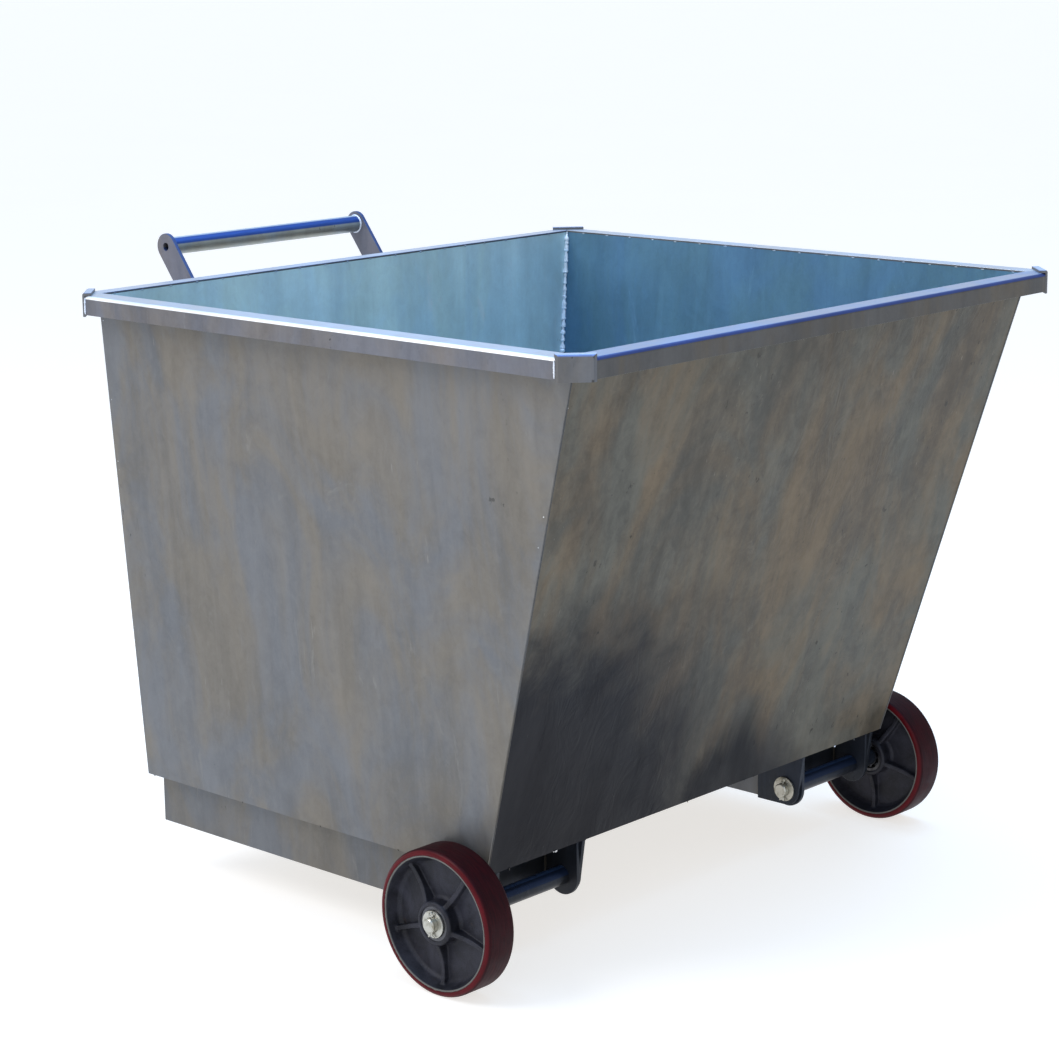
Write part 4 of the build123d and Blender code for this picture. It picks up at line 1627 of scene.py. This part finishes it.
@dataclass
class Studio:
    """Pale floor, soft light and the camera."""

    azimuth: float = -47.17
    elevation: float = 12.58
    roll: float = -0.72
    distance: float = 4.077
    lens: float = 93.08
    aim_off_centre: Point = (0.0258, 0.0155, 0.0330)
    low_sky: Point = (1.0, 1.0, 1.0)
    high_sky: Point = (0.36, 0.62, 1.0)
    dim_side: Point = (0.30, 0.285, 0.27)
    dimming: float = 0.7
    sky_strength: float = 0.85
    floor_size: float = 160.0
    light_aim: Point = (0, 0, 0.45)
    lights: tuple[Softbox, ...] = (
        Softbox("key_left", (-3.6, 1.6, 3.9), 2.2, 120.0, (1.0, 0.95, 0.88)),
        Softbox("sky_above", (0.3, -0.3, 3.6), 2.6, 110.0, (0.48, 0.72, 1.0)),
        Softbox("fill_left", (-4.0, -2.6, 1.5), 2.4, 16.0, (1.0, 0.99, 0.97)),
    )

    def build_floor(self) -> None:
        """A wide plain floor."""
        bpy.ops.object.select_all(action="DESELECT")
        bpy.ops.mesh.primitive_plane_add(size=self.floor_size, location=(0, 0, 0))
        floor = bpy.context.active_object
        floor.name = "studio_floor"
        with editing(floor):
            bpy.ops.mesh.subdivide(number_cuts=8)
        floor.data.materials.append(Backdrop("studio_pale", "hopper_sheet").material())

    def build_softbox(self, box: Softbox) -> None:
        """Sets one soft light up, turned towards the cart.

        Args:
            box: the light.
        """
        bpy.ops.object.select_all(action="DESELECT")
        bpy.ops.object.light_add(type="AREA", location=box.place)
        light = bpy.context.active_object
        light.name = box.name
        light.data.size = box.size
        light.data.energy = box.power
        light.data.color = box.colour
        aim = Vector(self.light_aim) - Vector(box.place)
        light.rotation_euler = aim.to_track_quat("-Z", "Y").to_euler()

    def build_sky(self) -> None:
        """Surroundings: pale low down, blue overhead, dim on the side that the front panel faces."""
        world = bpy.data.worlds.new("studio_air")
        bpy.context.scene.world = world
        graph = Graph(world, "BACKGROUND", "Generated")
        split = graph.add("ShaderNodeSeparateXYZ", Vector=graph.coords)
        height = graph.band(split.outputs["Z"], 0.25, 0.85)
        sky = graph.blend(height, rgb(self.low_sky), rgb(self.high_sky))
        dim = graph.total((split.outputs["X"], 0.65), (split.outputs["Y"], -0.75))
        sky = graph.blend(graph.band(dim, 0.1, 0.9, 0.0, self.dimming), sky, rgb(self.dim_side))
        graph.fill(graph.shader, Color=sky, Strength=self.sky_strength)

    def build_light(self) -> None:
        """A warm key from behind the left, a cool broad light above and a weak fill."""
        self.build_sky()
        for box in self.lights:
            self.build_softbox(box)

    def build_camera(self) -> None:
        """The camera, aimed just off the middle of the cart's box."""
        low, high = CAD_BOX
        aim = (low + high) / 2 + Vector(self.aim_off_centre)
        turn, rise = math.radians(self.azimuth), math.radians(self.elevation)
        back = Vector((math.sin(turn) * math.cos(rise), -math.cos(turn) * math.cos(rise), math.sin(rise)))
        data = bpy.data.cameras.new("camera")
        data.lens = self.lens
        data.sensor_width = 36.0
        data.clip_end = 400
        camera = bpy.data.objects.new("camera", data)
        bpy.context.scene.collection.objects.link(camera)
        camera.location = aim + back * self.distance
        camera.rotation_mode = "QUATERNION"
        tilt = Quaternion((0, 0, 1), math.radians(self.roll))
        camera.rotation_quaternion = (-back).to_track_quat("-Z", "Y") @ tilt
        bpy.context.scene.camera = camera

    def build(self) -> None:
        """Sets the whole studio up."""
        self.build_camera()
        self.build_floor()
        self.build_light()
        bpy.context.scene.view_settings.view_transform = "Standard"


def main() -> None:
    """Builds the studio and then the cart, piece by piece."""
    logging.basicConfig(level=logging.INFO, format="%(message)s")
    Studio().build()
    Hopper().build()
    Rim().build()
    UnderFrame().build()
    FrontAxles().build()
    for side in Side:
        FrontWheel(side).build()
    PushHandle().build()
    RearCaster().build()
    paint_kept_nodes()


if __name__ == "__main__":
    main()
